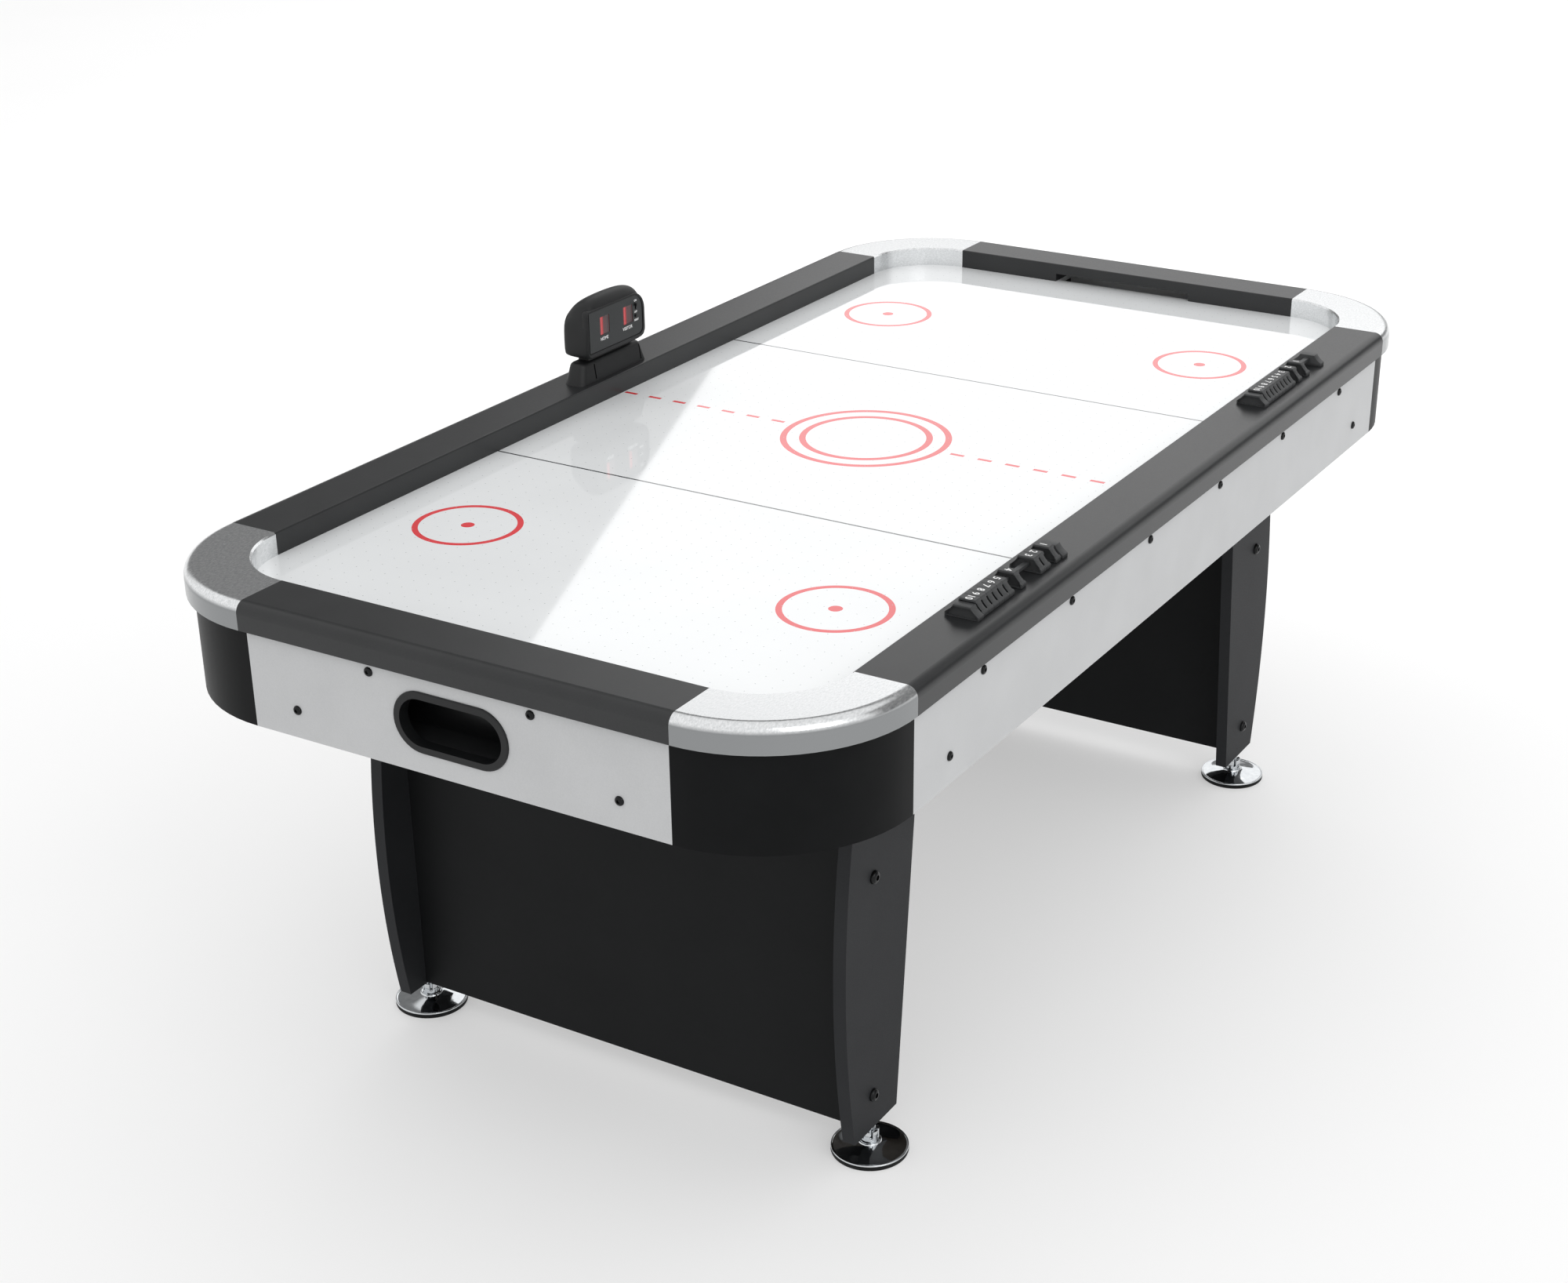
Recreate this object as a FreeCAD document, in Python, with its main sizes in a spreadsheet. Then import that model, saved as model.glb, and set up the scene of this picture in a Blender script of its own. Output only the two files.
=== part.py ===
import FreeCAD, Part
import os
import re

import Sketcher

# Seven-foot air hockey table. Millimetres; X across, Y along, Z up.
# The origin is on the floor under the middle of the table.

doc = FreeCAD.newDocument("AirHockeyTable")
sheet = doc.addObject("Spreadsheet::Sheet", "Sizes")

sizes = {
    # overall
    "table_length": 2130,
    "table_width": 1116.8,
    "table_height": 835,
    # rails and corner caps
    "rail_width": 91.5,
    "play_depth": 33.6,
    "skirt_drop": 39.5,
    "rail_round": 16,
    "rail_edge": 2.5,
    "cap_radius": 218,
    "cap_wall": 3,
    # aprons
    "apron_inset": 8.4,
    "apron_height": 146.4,
    "apron_board": 15,
    "apron_corner": 216,
    # playfield and air chamber
    "play_board": 9,
    "play_fit": 0.3,
    "chamber_height": 46,
    "chamber_setback": 20,
    "floor_board": 6,
    "batten": 20,
    "rib": 18,
    "rib_pitch": 420,
    "rib_gap": 40,
    # goals and puck return
    "goal_half": 137,
    "goal_height": 14.6,
    "goal_step": 11.5,
    "box_wall": 3,
    "box_round": 30,
    "box_fall": 18,
    "box_drop": 9.6,
    "return_width": 163,
    "return_height": 67,
    "return_drop": 72.8,
    "bezel_rim": 10.2,
    "bezel_face": 3,
    "bezel_wall": 3,
    "bezel_edge": 1.2,
    # legs
    "leg_side_setback": 148.4,
    "leg_end_setback": 380.6,
    "leg_board": 20,
    "leg_bottom": 45,
    "leg_swell": 84.6,
    "leg_bow": 1400,
    "leg_bow_height": 310,
    "leg_back": 60.4,
    "leg_taper": 0.099,
    "panel_step": 21.6,
    "panel_bottom": 48,
    "cleat_width": 40,
    "cleat_height": 40,
    "cleat_back": 102.4,
    "cleat_step": 5.6,
    # feet
    "foot_disc": 56.8,
    "foot_base": 6,
    "foot_lip": 3,
    "foot_cone": 8,
    "foot_collar": 17,
    "pad_inset": 0.6,
    "foot_nut": 13.5,
    "nut_height": 10,
    "foot_stem": 7,
    "stem_seat": 25,
    "foot_travel": 8,
    "foot_fit": 0.08,
    # blower
    "blower_radius": 95,
    "blower_depth": 70,
    "blower_wall": 2.5,
    "blower_flange": 112,
    "blower_hole": 92,
    "intake_radius": 54,
    "motor_radius": 30,
    "motor_height": 26,
    "shaft_radius": 3,
    "shaft_fit": 0.05,
    "fan_radius": 82,
    "fan_height": 26,
    "fan_plate": 2,
    "fan_hub": 9,
    "fan_gap": 6,
    "fan_weld": 0.5,
    "blade_sheet": 2,
    "blade_root": 50,
    "blade_tip": 70,
    "blade_sweep": 39,
    "blade_bend": 61,
    "spider_width": 14,
    "spider_sheet": 3,
    "guard_bar": 2.4,
    "guard_pitch": 18,
    "guard_rim": 62,
    # mains inlet
    "inlet_place": 640,
    "inlet_drop": 101.4,
    "inlet_width": 48,
    "inlet_tall": 28,
    "inlet_flange": 2.5,
    "inlet_body": 28,
    "inlet_deep": 26,
    "inlet_wall": 2.5,
    "inlet_fit": 0.2,
    "inlet_rim": 2,
    "pin_pitch": 7,
    "pin_half": 2,
    "pin_sheet": 2,
    "pin_setback": 2,
    "pin_low": -2,
    "pin_high": 3,
    # scoreboard
    "score_inset": 62.4,
    "score_y": -8.5,
    "stand_length": 188,
    "stand_depth": 40,
    "stand_height": 35,
    "stand_slope": 5,
    "stand_end_slope": 10,
    "stand_round": 12,
    "slot_width": 1.6,
    "slot_near": 49.5,
    "slot_far": 87,
    "slot_cut": 1.5,
    "slot_end": 5,
    "neck_length": 120,
    "neck_depth": 20,
    "head_lift": 41,
    "head_tall": 98,
    "head_half": 82,
    "head_depth": 54,
    "head_foot_round": 12,
    "head_corner": 30,
    "head_crown": 180,
    "head_edge": 10,
    "hood_back": 26,
    "nape_rise": 60,
    "nape_back": 22,
    "chin_back": 14,
    "panel_half": 76,
    "panel_rise": 11,
    "panel_tall": 68.5,
    "panel_corner": 12,
    "panel_foot": 8,
    "panel_rim": 2,
    "panel_recess": 3,
    "panel_sheet": 2,
    "window_width": 26.5,
    "window_height": 30,
    "window_place": 33,
    "window_sunk": 0.6,
    "window_rise": 51,
    "column_place": 56,
    "switch_slot": 10,
    "switch_rise": 60,
    "switch_width": 3.4,
    "switch_knob": 4.4,
    "switch_stand": 3.5,
    "button_radius": 2.4,
    "button_rise": 43.5,
    "button_travel": 1.2,
    "control_fit": 0.3,
    # bead scorers
    "bead_inset": 52.9,
    "near_scorer_y": -503,
    "far_scorer_y": 492,
    "scorer_length": 264,
    "block_thick": 15,
    "block_width": 50,
    "block_top": 25,
    "block_height": 17.5,
    "block_foot": 5,
    "bead_width": 48,
    "bead_top": 23,
    "bead_height": 21,
    "bead_foot": 6,
    "bead_thick": 14.7,
    "bead_gap": 0.3,
    "bead_lift": 0.4,
    "bar_width": 8,
    "bar_height": 5,
    "bar_low": 8,
    "bar_fit": 0.3,
}

# Places worked out from the sizes above.
derived = {
    "half_width": "table_width / 2",
    "half_length": "table_length / 2",
    "play_top": "table_height - play_depth",
    "play_low": "play_top - play_board",
    "floor_top": "play_low - chamber_height",
    "floor_low": "floor_top - floor_board",
    "rail_in_x": "half_width - rail_width",
    "rail_in_y": "half_length - rail_width",
    "skirt_low": "table_height - skirt_drop",
    "cap_x": "half_width - cap_radius",
    "cap_y": "half_length - cap_radius",
    "apron_x": "half_width - apron_inset",
    "apron_y": "half_length - apron_inset",
    "apron_low": "play_top - apron_height",
    "apron_cx": "apron_x - apron_corner",
    "apron_cy": "apron_y - apron_corner",
    "side_in": "apron_x - apron_board",
    "end_in": "apron_y - apron_board",
    "goal_edge": "rail_in_y + goal_step",
    "chamber_end": "goal_edge - chamber_setback",
    "return_centre": "play_top - return_drop",
    "inlet_height": "play_top - inlet_drop",
    "leg_face": "half_width - leg_side_setback",
    "leg_in": "leg_face - leg_board",
    "foot_place": "half_length - leg_end_setback",
    "leg_inner": "foot_place - leg_back",
    "leg_outer": "foot_place + leg_swell",
    "panel_face": "foot_place + panel_step",
    "cleat_start": "foot_place - cleat_back",
    "cleat_end": "foot_place + cleat_step",
    "foot_x": "leg_face - leg_board / 2",
    "stem_top": "leg_bottom + stem_seat",
    "blower_low": "floor_low - blower_depth",
    "spider_low": "floor_low - 2 * spider_sheet",
    "motor_low": "spider_low - motor_height",
    "fan_top": "motor_low - fan_gap",
    "fan_low": "fan_top - fan_height",
    "score_x": "score_inset - half_width",
    "head_bottom": "table_height + head_lift",
    "head_top": "head_bottom + head_tall",
    "panel_low": "head_bottom + panel_rise",
    "panel_high": "panel_low + panel_tall",
    "window_centre": "head_bottom + window_rise",
    "switch_centre": "head_bottom + switch_rise",
    "button_centre": "head_bottom + button_rise",
    "bead_rail_x": "half_width - bead_inset",
    "score_front": "score_x + head_depth / 2",
    "score_back": "score_x - head_depth / 2",
    "stand_top": "table_height + stand_height",
    "panel_back": "score_front - panel_recess",
    "panel_front": "panel_back + panel_sheet",
    "column_y": "score_y + column_place",
    "bead_low": "table_height + bead_lift",
    "bar_bottom": "table_height + bar_low",
}

for row, (alias, number) in enumerate(sizes.items(), 1):
    sheet.set(f"A{row}", alias)
    sheet.set(f"B{row}", str(number))
    sheet.setAlias(f"B{row}", alias)
doc.recompute()


def expand(text):
    """The same sum, written with the sheet's cells."""

    def cell(match):
        word = match.group(0)
        if word in derived:
            return "(" + expand(derived[word]) + ")"
        return "Sizes." + word if word in sizes else word

    return re.sub(r"[A-Za-z_][A-Za-z_0-9]*", cell, str(text))


def value(text):
    return float(sheet.evalExpression(expand(text)))


def bind(item, **sums):
    """Tie properties to the sheet; __ in a name stands for a dot."""
    for name, text in sums.items():
        item.setExpression(name.replace("__", "."), expand(text))
    return item


def place(item, x="0", y="0", z="0"):
    return bind(item, Placement__Base__x=x, Placement__Base__y=y, Placement__Base__z=z)


# ---- Part primitives -------------------------------------------------------


def block(name, x, y, z):
    """A box given by its (low, high) sums along each axis."""
    item = doc.addObject("Part::Box", name)
    bind(item, Length=f"({x[1]}) - ({x[0]})", Width=f"({y[1]}) - ({y[0]})", Height=f"({z[1]}) - ({z[0]})")
    return place(item, x[0], y[0], z[0])


TURNS = {
    "z": FreeCAD.Rotation(),
    "x": FreeCAD.Rotation(FreeCAD.Vector(0, 1, 0), 90),
    "y": FreeCAD.Rotation(FreeCAD.Vector(1, 0, 0), -90),
}


def rod(name, x, y, z, radius, length, axis="z", angle=360):
    item = doc.addObject("Part::Cylinder", name)
    item.Angle = angle
    item.Placement = FreeCAD.Placement(FreeCAD.Vector(), TURNS[axis])
    bind(item, Radius=radius, Height=length)
    return place(item, x, y, z)


def polygon(name, x, y, z, sides, radius, length):
    """An upright prism on a regular polygon, by its corner radius."""
    item = doc.addObject("Part::Prism", name)
    item.Polygon = sides
    bind(item, Circumradius=radius, Height=length)
    return place(item, x, y, z)


def cut(name, base, tools):
    item = doc.addObject("Part::Cut", name)
    item.Base = base
    item.Tool = tools[0] if len(tools) == 1 else join(name + "_tools", tools)
    return item


def join(name, shapes):
    item = doc.addObject("Part::MultiFuse", name)
    item.Shapes = shapes
    return item


def group(name, shapes):
    item = doc.addObject("Part::Compound", name)
    item.Links = shapes
    return item


def mirror(name, source, *normals):
    """The source seen in the planes through the origin with these normals."""
    item = source
    for step, normal in enumerate(normals, 1):
        copy = doc.addObject("Part::Mirroring", name if step == len(normals) else f"{name}_{step}")
        copy.Source = item
        copy.Normal = FreeCAD.Vector(*normal)
        item = copy
    return item


ACROSS = (1, 0, 0)
ALONG = (0, 1, 0)


def four(name, source):
    """The source and its three mirror images, as one group."""
    return group(
        name,
        [
            source,
            mirror(name + "_left", source, ACROSS),
            mirror(name + "_far", source, ALONG),
            mirror(name + "_far_left", source, ACROSS, ALONG),
        ],
    )


# ---- PartDesign helpers ----------------------------------------------------


def new_body(name):
    return doc.addObject("PartDesign::Body", name)


def new_sketch(body, name, role, offset="0"):
    sketch = body.newObject("Sketcher::SketchObject", name)
    origin = next(item for item in body.Origin.OriginFeatures if item.Role == role)
    sketch.AttachmentSupport = [(origin, "")]
    sketch.MapMode = "FlatFace"
    return bind(sketch, AttachmentOffset__Base__z=offset)


def pin_point(sketch, geometry, end, corner):
    """Tie a point of the sketch to its two sums."""
    for kind, text in zip(("DistanceX", "DistanceY"), corner):
        index = sketch.addConstraint(Sketcher.Constraint(kind, -1, 1, geometry, end, value(text)))
        sketch.setExpression(f"Constraints[{index}]", expand(text))


def outline(sketch, corners, arcs=None):
    """A closed outline. arcs maps an edge's number to (radius, bulge): bulge is 1
    where the edge bows to the right of its direction of travel, -1 to the left.
    A half circle adds where its centre lies along the first axis."""
    arcs = arcs or {}
    points = [FreeCAD.Vector(value(u), value(v), 0) for u, v in corners]
    count = len(points)
    starts = []
    for number, start in enumerate(points):
        end = points[(number + 1) % count]
        if number in arcs:
            radius = value(arcs[number][0])
            chord = end - start
            half = chord.Length / 2
            rise = radius - max(radius * radius - half * half, 0) ** 0.5
            side = FreeCAD.Vector(chord.y, -chord.x, 0).normalize() * (rise * arcs[number][1])
            edge = Part.Arc(start, (start + end) / 2 + side, end)
        else:
            edge = Part.LineSegment(start, end)
        index = sketch.addGeometry(edge, False)
        begins = (sketch.getPoint(index, 1) - start).Length < (sketch.getPoint(index, 2) - start).Length
        starts.append((index, 1, 2) if begins else (index, 2, 1))
    for number, (index, start, end) in enumerate(starts):
        follower = starts[(number + 1) % count]
        sketch.addConstraint(Sketcher.Constraint("Coincident", index, end, follower[0], follower[1]))
        pin_point(sketch, index, start, corners[number])
        if number in arcs and len(arcs[number]) == 3:  # a half circle is held by its centre
            centre = arcs[number][2]
            made = sketch.addConstraint(Sketcher.Constraint("DistanceX", -1, 1, index, 3, value(centre)))
            sketch.setExpression(f"Constraints[{made}]", expand(centre))
        elif number in arcs:
            radius = arcs[number][0]
            made = sketch.addConstraint(Sketcher.Constraint("Radius", index, value(radius)))
            sketch.setExpression(f"Constraints[{made}]", expand(radius))


def circle(sketch, centre, radius):
    middle = FreeCAD.Vector(value(centre[0]), value(centre[1]), 0)
    index = sketch.addGeometry(Part.Circle(middle, FreeCAD.Vector(0, 0, 1), value(radius)), False)
    pin_point(sketch, index, 3, centre)
    made = sketch.addConstraint(Sketcher.Constraint("Radius", index, value(radius)))
    sketch.setExpression(f"Constraints[{made}]", expand(radius))


def pad(body, sketch, length, backwards=False):
    item = body.newObject("PartDesign::Pad", sketch.Name + "_pad")
    item.Profile = sketch
    item.Reversed = backwards
    return bind(item, Length=length)


def pocket(body, sketch, length, backwards=False):
    item = body.newObject("PartDesign::Pocket", sketch.Name + "_pocket")
    item.Profile = sketch
    item.Reversed = backwards
    return bind(item, Length=length)


def revolve(body, sketch, angle=360):
    item = body.newObject("PartDesign::Revolution", sketch.Name + "_turn")
    item.Profile = sketch
    item.ReferenceAxis = (sketch, ["V_Axis"])
    item.Angle = angle
    return item


def edges_where(shape, test):
    """Names of the edges whose middle passes the test."""
    names = []
    for number, edge in enumerate(shape.Edges, 1):
        middle = edge.valueAt((edge.FirstParameter + edge.LastParameter) / 2)
        if test(middle, edge):
            names.append(f"Edge{number}")
    return names


def soften(body, kind, test, size):
    """A fillet or chamfer on the edges that pass the test."""
    doc.recompute()
    tip = body.Tip
    item = body.newObject(f"PartDesign::{kind}", f"{body.Name}_{kind.lower()}")
    item.Base = (tip, edges_where(tip.Shape, test))
    return bind(item, **{"Radius" if kind == "Fillet" else "Size": size})


def prism(name, role, corners, arcs, low, high):
    """A body whose outline is drawn on one of its planes and padded from low to high."""
    body = new_body(name)
    turned = role == "XZ_Plane"
    sketch = new_sketch(body, name + "_outline", role, f"-({high})" if turned else low)
    outline(sketch, corners, arcs)
    pad(body, sketch, f"({high}) - ({low})")
    return body


def stadium(half_length, radius, centre):
    """Corners and arcs of a slot shape lying along the sketch's first axis."""
    top = f"({centre}) + ({radius})"
    low = f"({centre}) - ({radius})"
    corners = [
        (f"-({half_length})", low),
        (half_length, low),
        (half_length, top),
        (f"-({half_length})", top),
    ]
    return corners, {1: (radius, 1, half_length), 3: (radius, 1, f"-({half_length})")}


def rounded(half_x, half_y, radius):
    """Corners and arcs of a rounded rectangle, counter-clockwise."""
    x_in = f"({half_x}) - ({radius})"
    y_in = f"({half_y}) - ({radius})"
    corners = [
        (f"-({x_in})", f"-({half_y})"),
        (x_in, f"-({half_y})"),
        (half_x, f"-({y_in})"),
        (half_x, y_in),
        (x_in, half_y),
        (f"-({x_in})", half_y),
        (f"-({half_x})", y_in),
        (f"-({half_x})", f"-({y_in})"),
    ]
    return corners, {edge: (radius, 1) for edge in (1, 3, 5, 7)}


nodes = []


def node(name, item):
    item.Label = name
    nodes.append(item)
    return item


# ---- playfield and air chamber ---------------------------------------------

corners, arcs = rounded("side_in - play_fit", "end_in - play_fit", "apron_corner - apron_board - play_fit")
board = prism("play_board_body", "XY_Plane", corners, arcs, "play_low", "play_top")
notch = block(
    "goal_notch",
    ("-goal_half", "goal_half"),
    ("goal_edge", "end_in + 1"),
    ("play_low - 1", "play_top + 1"),
)
node("playfield", cut("playfield", board, [notch, mirror("goal_notch_near", notch, ALONG)]))

floor_radius = "(apron_corner - apron_board - play_fit)"
floor_reach = f"apron_cx + sqrt({floor_radius}^2 - (chamber_end - apron_cy)^2)"
floor_side = "side_in - play_fit"
corners = [
    (f"-({floor_reach})", "-chamber_end"),
    (floor_reach, "-chamber_end"),
    (floor_side, "-apron_cy"),
    (floor_side, "apron_cy"),
    (floor_reach, "chamber_end"),
    (f"-({floor_reach})", "chamber_end"),
    (f"-({floor_side})", "apron_cy"),
    (f"-({floor_side})", "-apron_cy"),
]
arcs = {edge: (floor_radius, 1) for edge in (1, 3, 5, 7)}
chamber_floor = prism("chamber_floor_body", "XY_Plane", corners, arcs, "floor_low", "floor_top")
blower_mouth = rod("blower_mouth", "0", "0", "floor_low - 1", "blower_hole", "floor_board + 2")
node("chamber_floor", cut("chamber_floor", chamber_floor, [blower_mouth]))

deep = ("floor_top", "play_low")
side_batten = block("side_batten", ("side_in - batten", "side_in"), ("-apron_cy", "apron_cy"), deep)
end_batten = block(
    "end_batten",
    (f"-({floor_reach})", floor_reach),
    ("chamber_end - batten", "chamber_end"),
    deep,
)
ribs = []
for number in (-1, 0, 1):
    reach = "side_in - batten - rib_gap"
    middle = f"{number} * rib_pitch"
    halves = [(f"-({reach})", reach)]
    if number == 0:  # the middle rib stops short of the blower's mouth
        halves = [(f"-({reach})", "-blower_flange"), ("blower_flange", reach)]
    for half in halves:
        ribs.append(block("rib", half, (f"{middle} - rib / 2", f"{middle} + rib / 2"), deep))
battens = [side_batten, mirror("side_batten_left", side_batten, ACROSS)]
battens += [end_batten, mirror("end_batten_near", end_batten, ALONG)]
node("chamber_battens", group("chamber_battens", battens + ribs))

# ---- aprons -----------------------------------------------------------------

side_board = block("side_board", ("side_in", "apron_x"), ("-apron_cy", "apron_cy"), ("apron_low", "play_top"))
right_apron = node("side_apron_right", side_board)
inlet_cut = block(
    "inlet_cut",
    ("-apron_x - 1", "-side_in + 1"),
    ("inlet_place - inlet_body / 2 - inlet_fit", "inlet_place + inlet_body / 2 + inlet_fit"),
    ("inlet_height - inlet_tall / 2 + inlet_rim", "inlet_height + inlet_tall / 2 - inlet_rim"),
)
left_board = mirror("left_board", right_apron, ACROSS)
node("side_apron_left", cut("side_apron_left", left_board, [inlet_cut]))

return_half = "(return_width - return_height) / 2"
sleeve_radius = "return_height / 2 + bezel_wall"
end_board = block("end_board", ("-apron_cx", "apron_cx"), ("end_in", "apron_y"), ("apron_low", "play_top"))
corners, arcs = stadium(return_half, f"{sleeve_radius} + play_fit", "return_centre")
return_cut = prism("return_cut", "XZ_Plane", corners, arcs, "end_in - 1", "apron_y + 1")
far_apron = node("end_apron_far", cut("end_apron_far", end_board, [return_cut]))
node("end_apron_near", mirror("end_apron_near", far_apron, ALONG))

quarter = rod("quarter", "apron_cx", "apron_cy", "apron_low", "apron_corner", "apron_height", angle=90)
quarter_core = rod(
    "quarter_core",
    "apron_cx",
    "apron_cy",
    "apron_low - 1",
    "apron_corner - apron_board",
    "apron_height + 2",
)
corner_apron = cut("corner_apron", quarter, [quarter_core])
node("corner_aprons", four("corner_aprons", corner_apron))

# ---- rails and corner caps -------------------------------------------------


def rail_outline(inner, outer, lip):
    """Section of a rail: a solid bar on the board, with a lip outside the apron."""
    corners = [
        (inner, "play_top"),
        (lip, "play_top"),
        (lip, "skirt_low"),
        (outer, "skirt_low"),
        (outer, "table_height - rail_round"),
        (f"{outer} - rail_round", "table_height"),
        (f"{inner} + rail_edge", "table_height"),
        (inner, "table_height - rail_edge"),
    ]
    return corners, {4: ("rail_round", 1), 6: ("rail_edge", 1)}


corners, arcs = rail_outline("rail_in_x", "half_width", "apron_x")
side_rail = prism("side_rail", "XZ_Plane", corners, arcs, "-cap_y", "cap_y")
node("side_rail_right", side_rail)
node("side_rail_left", mirror("side_rail_left", side_rail, ACROSS))

corners, arcs = rail_outline("rail_in_y", "half_length", "apron_y")
end_bar = prism("end_bar", "YZ_Plane", corners, arcs, "-cap_x", "cap_x")
goal_slot = block(
    "goal_slot",
    ("-goal_half", "goal_half"),
    ("rail_in_y - 1", "end_in"),
    ("play_top - 1", "play_top + goal_height"),
)
end_rail = node("end_rail_far", cut("end_rail_far", end_bar, [goal_slot]))
node("end_rail_near", mirror("end_rail_near", end_rail, ALONG))

cap_inner = "(cap_radius - rail_width)"
cap = new_body("corner_cap")
section = new_sketch(cap, "cap_section", "XZ_Plane")
outline(
    section,
    [
        ("cap_radius", "skirt_low"),
        ("cap_radius", "table_height - rail_round"),
        ("cap_radius - rail_round", "table_height"),
        (f"{cap_inner} + rail_edge", "table_height"),
        (cap_inner, "table_height - rail_edge"),
        (cap_inner, "play_top"),
        (f"{cap_inner} + cap_wall", "play_top"),
        (f"{cap_inner} + cap_wall", "table_height - rail_round"),
        ("cap_radius - cap_wall", "table_height - rail_round"),
        ("cap_radius - cap_wall", "skirt_low"),
    ],
    {1: ("rail_round", 1)},
)
revolve(cap, section, 90)
place(cap, "cap_x", "cap_y")
node("corner_caps", four("corner_caps", cap))

# ---- goal boxes and puck returns -------------------------------------------

box_floor = "return_centre - return_height / 2"
shell = prism(
    "goal_shell",
    "YZ_Plane",
    [
        ("goal_edge - box_wall", f"{box_floor} + box_fall - box_wall"),
        ("end_in", f"{box_floor} - box_wall"),
        ("end_in", "play_low"),
        ("goal_edge - box_wall", "play_low"),
    ],
    {},
    "-goal_half - box_wall",
    "goal_half + box_wall",
)
hollow = prism(
    "goal_hollow",
    "YZ_Plane",
    [
        ("goal_edge + box_round", f"{box_floor} + box_fall - box_drop"),
        ("end_in + 1", box_floor),
        ("end_in + 1", "play_low + 1"),
        ("goal_edge", "play_low + 1"),
        ("goal_edge", f"{box_floor} + box_fall - box_drop + box_round"),
    ],
    {4: ("box_round", 1)},
    "-goal_half",
    "goal_half",
)
goal_box = cut("goal_box", shell, [hollow])
node("goal_boxes", group("goal_boxes", [goal_box, mirror("goal_box_near", goal_box, ALONG)]))

bezel = new_body("bezel")
rim = new_sketch(bezel, "rim", "XZ_Plane", "-apron_y - bezel_face")
rim_radius = "return_height / 2 + bezel_rim"
outline(rim, *stadium(return_half, rim_radius, "return_centre"))
pad(bezel, rim, "bezel_face")
bezel_front = value("apron_y + bezel_face")
soften(bezel, "Chamfer", lambda middle, edge: abs(middle.y - bezel_front) < 0.01, "bezel_edge")
sleeve = new_sketch(bezel, "sleeve", "XZ_Plane", "-apron_y")
outline(sleeve, *stadium(return_half, sleeve_radius, "return_centre"))
pad(bezel, sleeve, "apron_board")
throat = new_sketch(bezel, "throat", "XZ_Plane", "-apron_y - bezel_face")
outline(throat, *stadium(return_half, "return_height / 2", "return_centre"))
pocket(bezel, throat, "bezel_face + apron_board", backwards=True)
node("return_bezels", group("return_bezels", [bezel, mirror("bezel_near", bezel, ALONG)]))

# ---- legs ------------------------------------------------------------------

bow_centre = "(leg_outer - leg_bow)"


def bow_at(height):
    """Where the plate's bowed outer edge stands at a height."""
    return f"{bow_centre} + sqrt(leg_bow^2 - (({height}) - leg_bow_height)^2)"


taper_top = "leg_inner - leg_taper * (floor_low - leg_bottom)"
plate_blank = prism(
    "leg_plate_blank",
    "YZ_Plane",
    [
        ("leg_inner", "leg_bottom"),
        (bow_at("leg_bottom"), "leg_bottom"),
        (bow_at("floor_low"), "floor_low"),
        (taper_top, "floor_low"),
    ],
    {1: ("leg_bow", 1)},
    "leg_in",
    "leg_face",
)
stem_bore = rod(
    "stem_bore",
    "foot_x",
    "foot_place",
    "leg_bottom - 1",
    "foot_stem + foot_fit",
    "stem_seat + foot_travel + 4",
)
plate = cut("leg_plate_far_right", plate_blank, [stem_bore])
node("leg_plate_far_right", plate)
node("leg_plate_far_left", mirror("leg_plate_far_left", plate, ACROSS))
node("leg_plate_near_right", mirror("leg_plate_near_right", plate, ALONG))
node("leg_plate_near_left", mirror("leg_plate_near_left", plate, ACROSS, ALONG))

panel_board = block(
    "panel_board",
    ("-leg_in", "leg_in"),
    ("panel_face - leg_board", "panel_face"),
    ("panel_bottom", "floor_low"),
)
node("leg_panel_far", panel_board)
node("leg_panel_near", mirror("leg_panel_near", panel_board, ALONG))

cleat_board = block(
    "cleat_board",
    ("leg_face", "leg_face + cleat_width"),
    ("cleat_start", "cleat_end"),
    ("floor_low - cleat_height", "floor_low"),
)
node("leg_cleats", four("leg_cleats", cleat_board))

# ---- levelling feet --------------------------------------------------------

# Many-sided discs keep the four small feet light.
collar_top = "foot_base + foot_lip + foot_cone"
nut_top = f"{collar_top} + nut_height"
disc = new_body("foot_disc_body")
blank = disc.newObject("PartDesign::AdditivePrism", "foot_blank")
blank.Polygon = 24
bind(blank, Circumradius="foot_disc", Height="foot_lip + foot_cone")
slope = soften(
    disc, "Chamfer", lambda middle, edge: middle.z > value("foot_lip + foot_cone / 2"), "foot_cone"
)
slope.ChamferType = "Two distances"
bind(slope, Size2="foot_disc - foot_collar")
place(disc, "foot_x", "foot_place", "foot_base")
nut = polygon("foot_nut", "foot_x", "foot_place", collar_top, 6, "foot_nut", "nut_height")
stem = polygon("foot_stem", "foot_x", "foot_place", nut_top, 12, "foot_stem", f"stem_top - ({nut_top})")
pad_ring = polygon("foot_pad", "foot_x", "foot_place", "0", 24, "foot_disc - pad_inset", "foot_base")
foot = group("foot_far_right", [join("foot_chrome", [disc, nut, stem]), pad_ring])
node("foot_far_right", foot)
node("foot_far_left", mirror("foot_far_left", foot, ACROSS))
node("foot_near_right", mirror("foot_near_right", foot, ALONG))
node("foot_near_left", mirror("foot_near_left", foot, ACROSS, ALONG))

# ---- blower ----------------------------------------------------------------

flange = block(
    "blower_flange",
    ("-blower_flange", "blower_flange"),
    ("-blower_flange", "blower_flange"),
    ("floor_low - blower_wall", "floor_low"),
)
drum = rod("blower_drum", "0", "0", "blower_low", "blower_radius", "blower_depth")
drum_hollow = rod(
    "drum_hollow", "0", "0", "blower_low + blower_wall", "blower_radius - blower_wall", "blower_depth"
)
intake = rod("blower_intake", "0", "0", "blower_low - 1", "intake_radius", "blower_wall + 2")
node("blower_housing", cut("blower_housing", join("blower_case", [flange, drum]), [drum_hollow, intake]))

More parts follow.
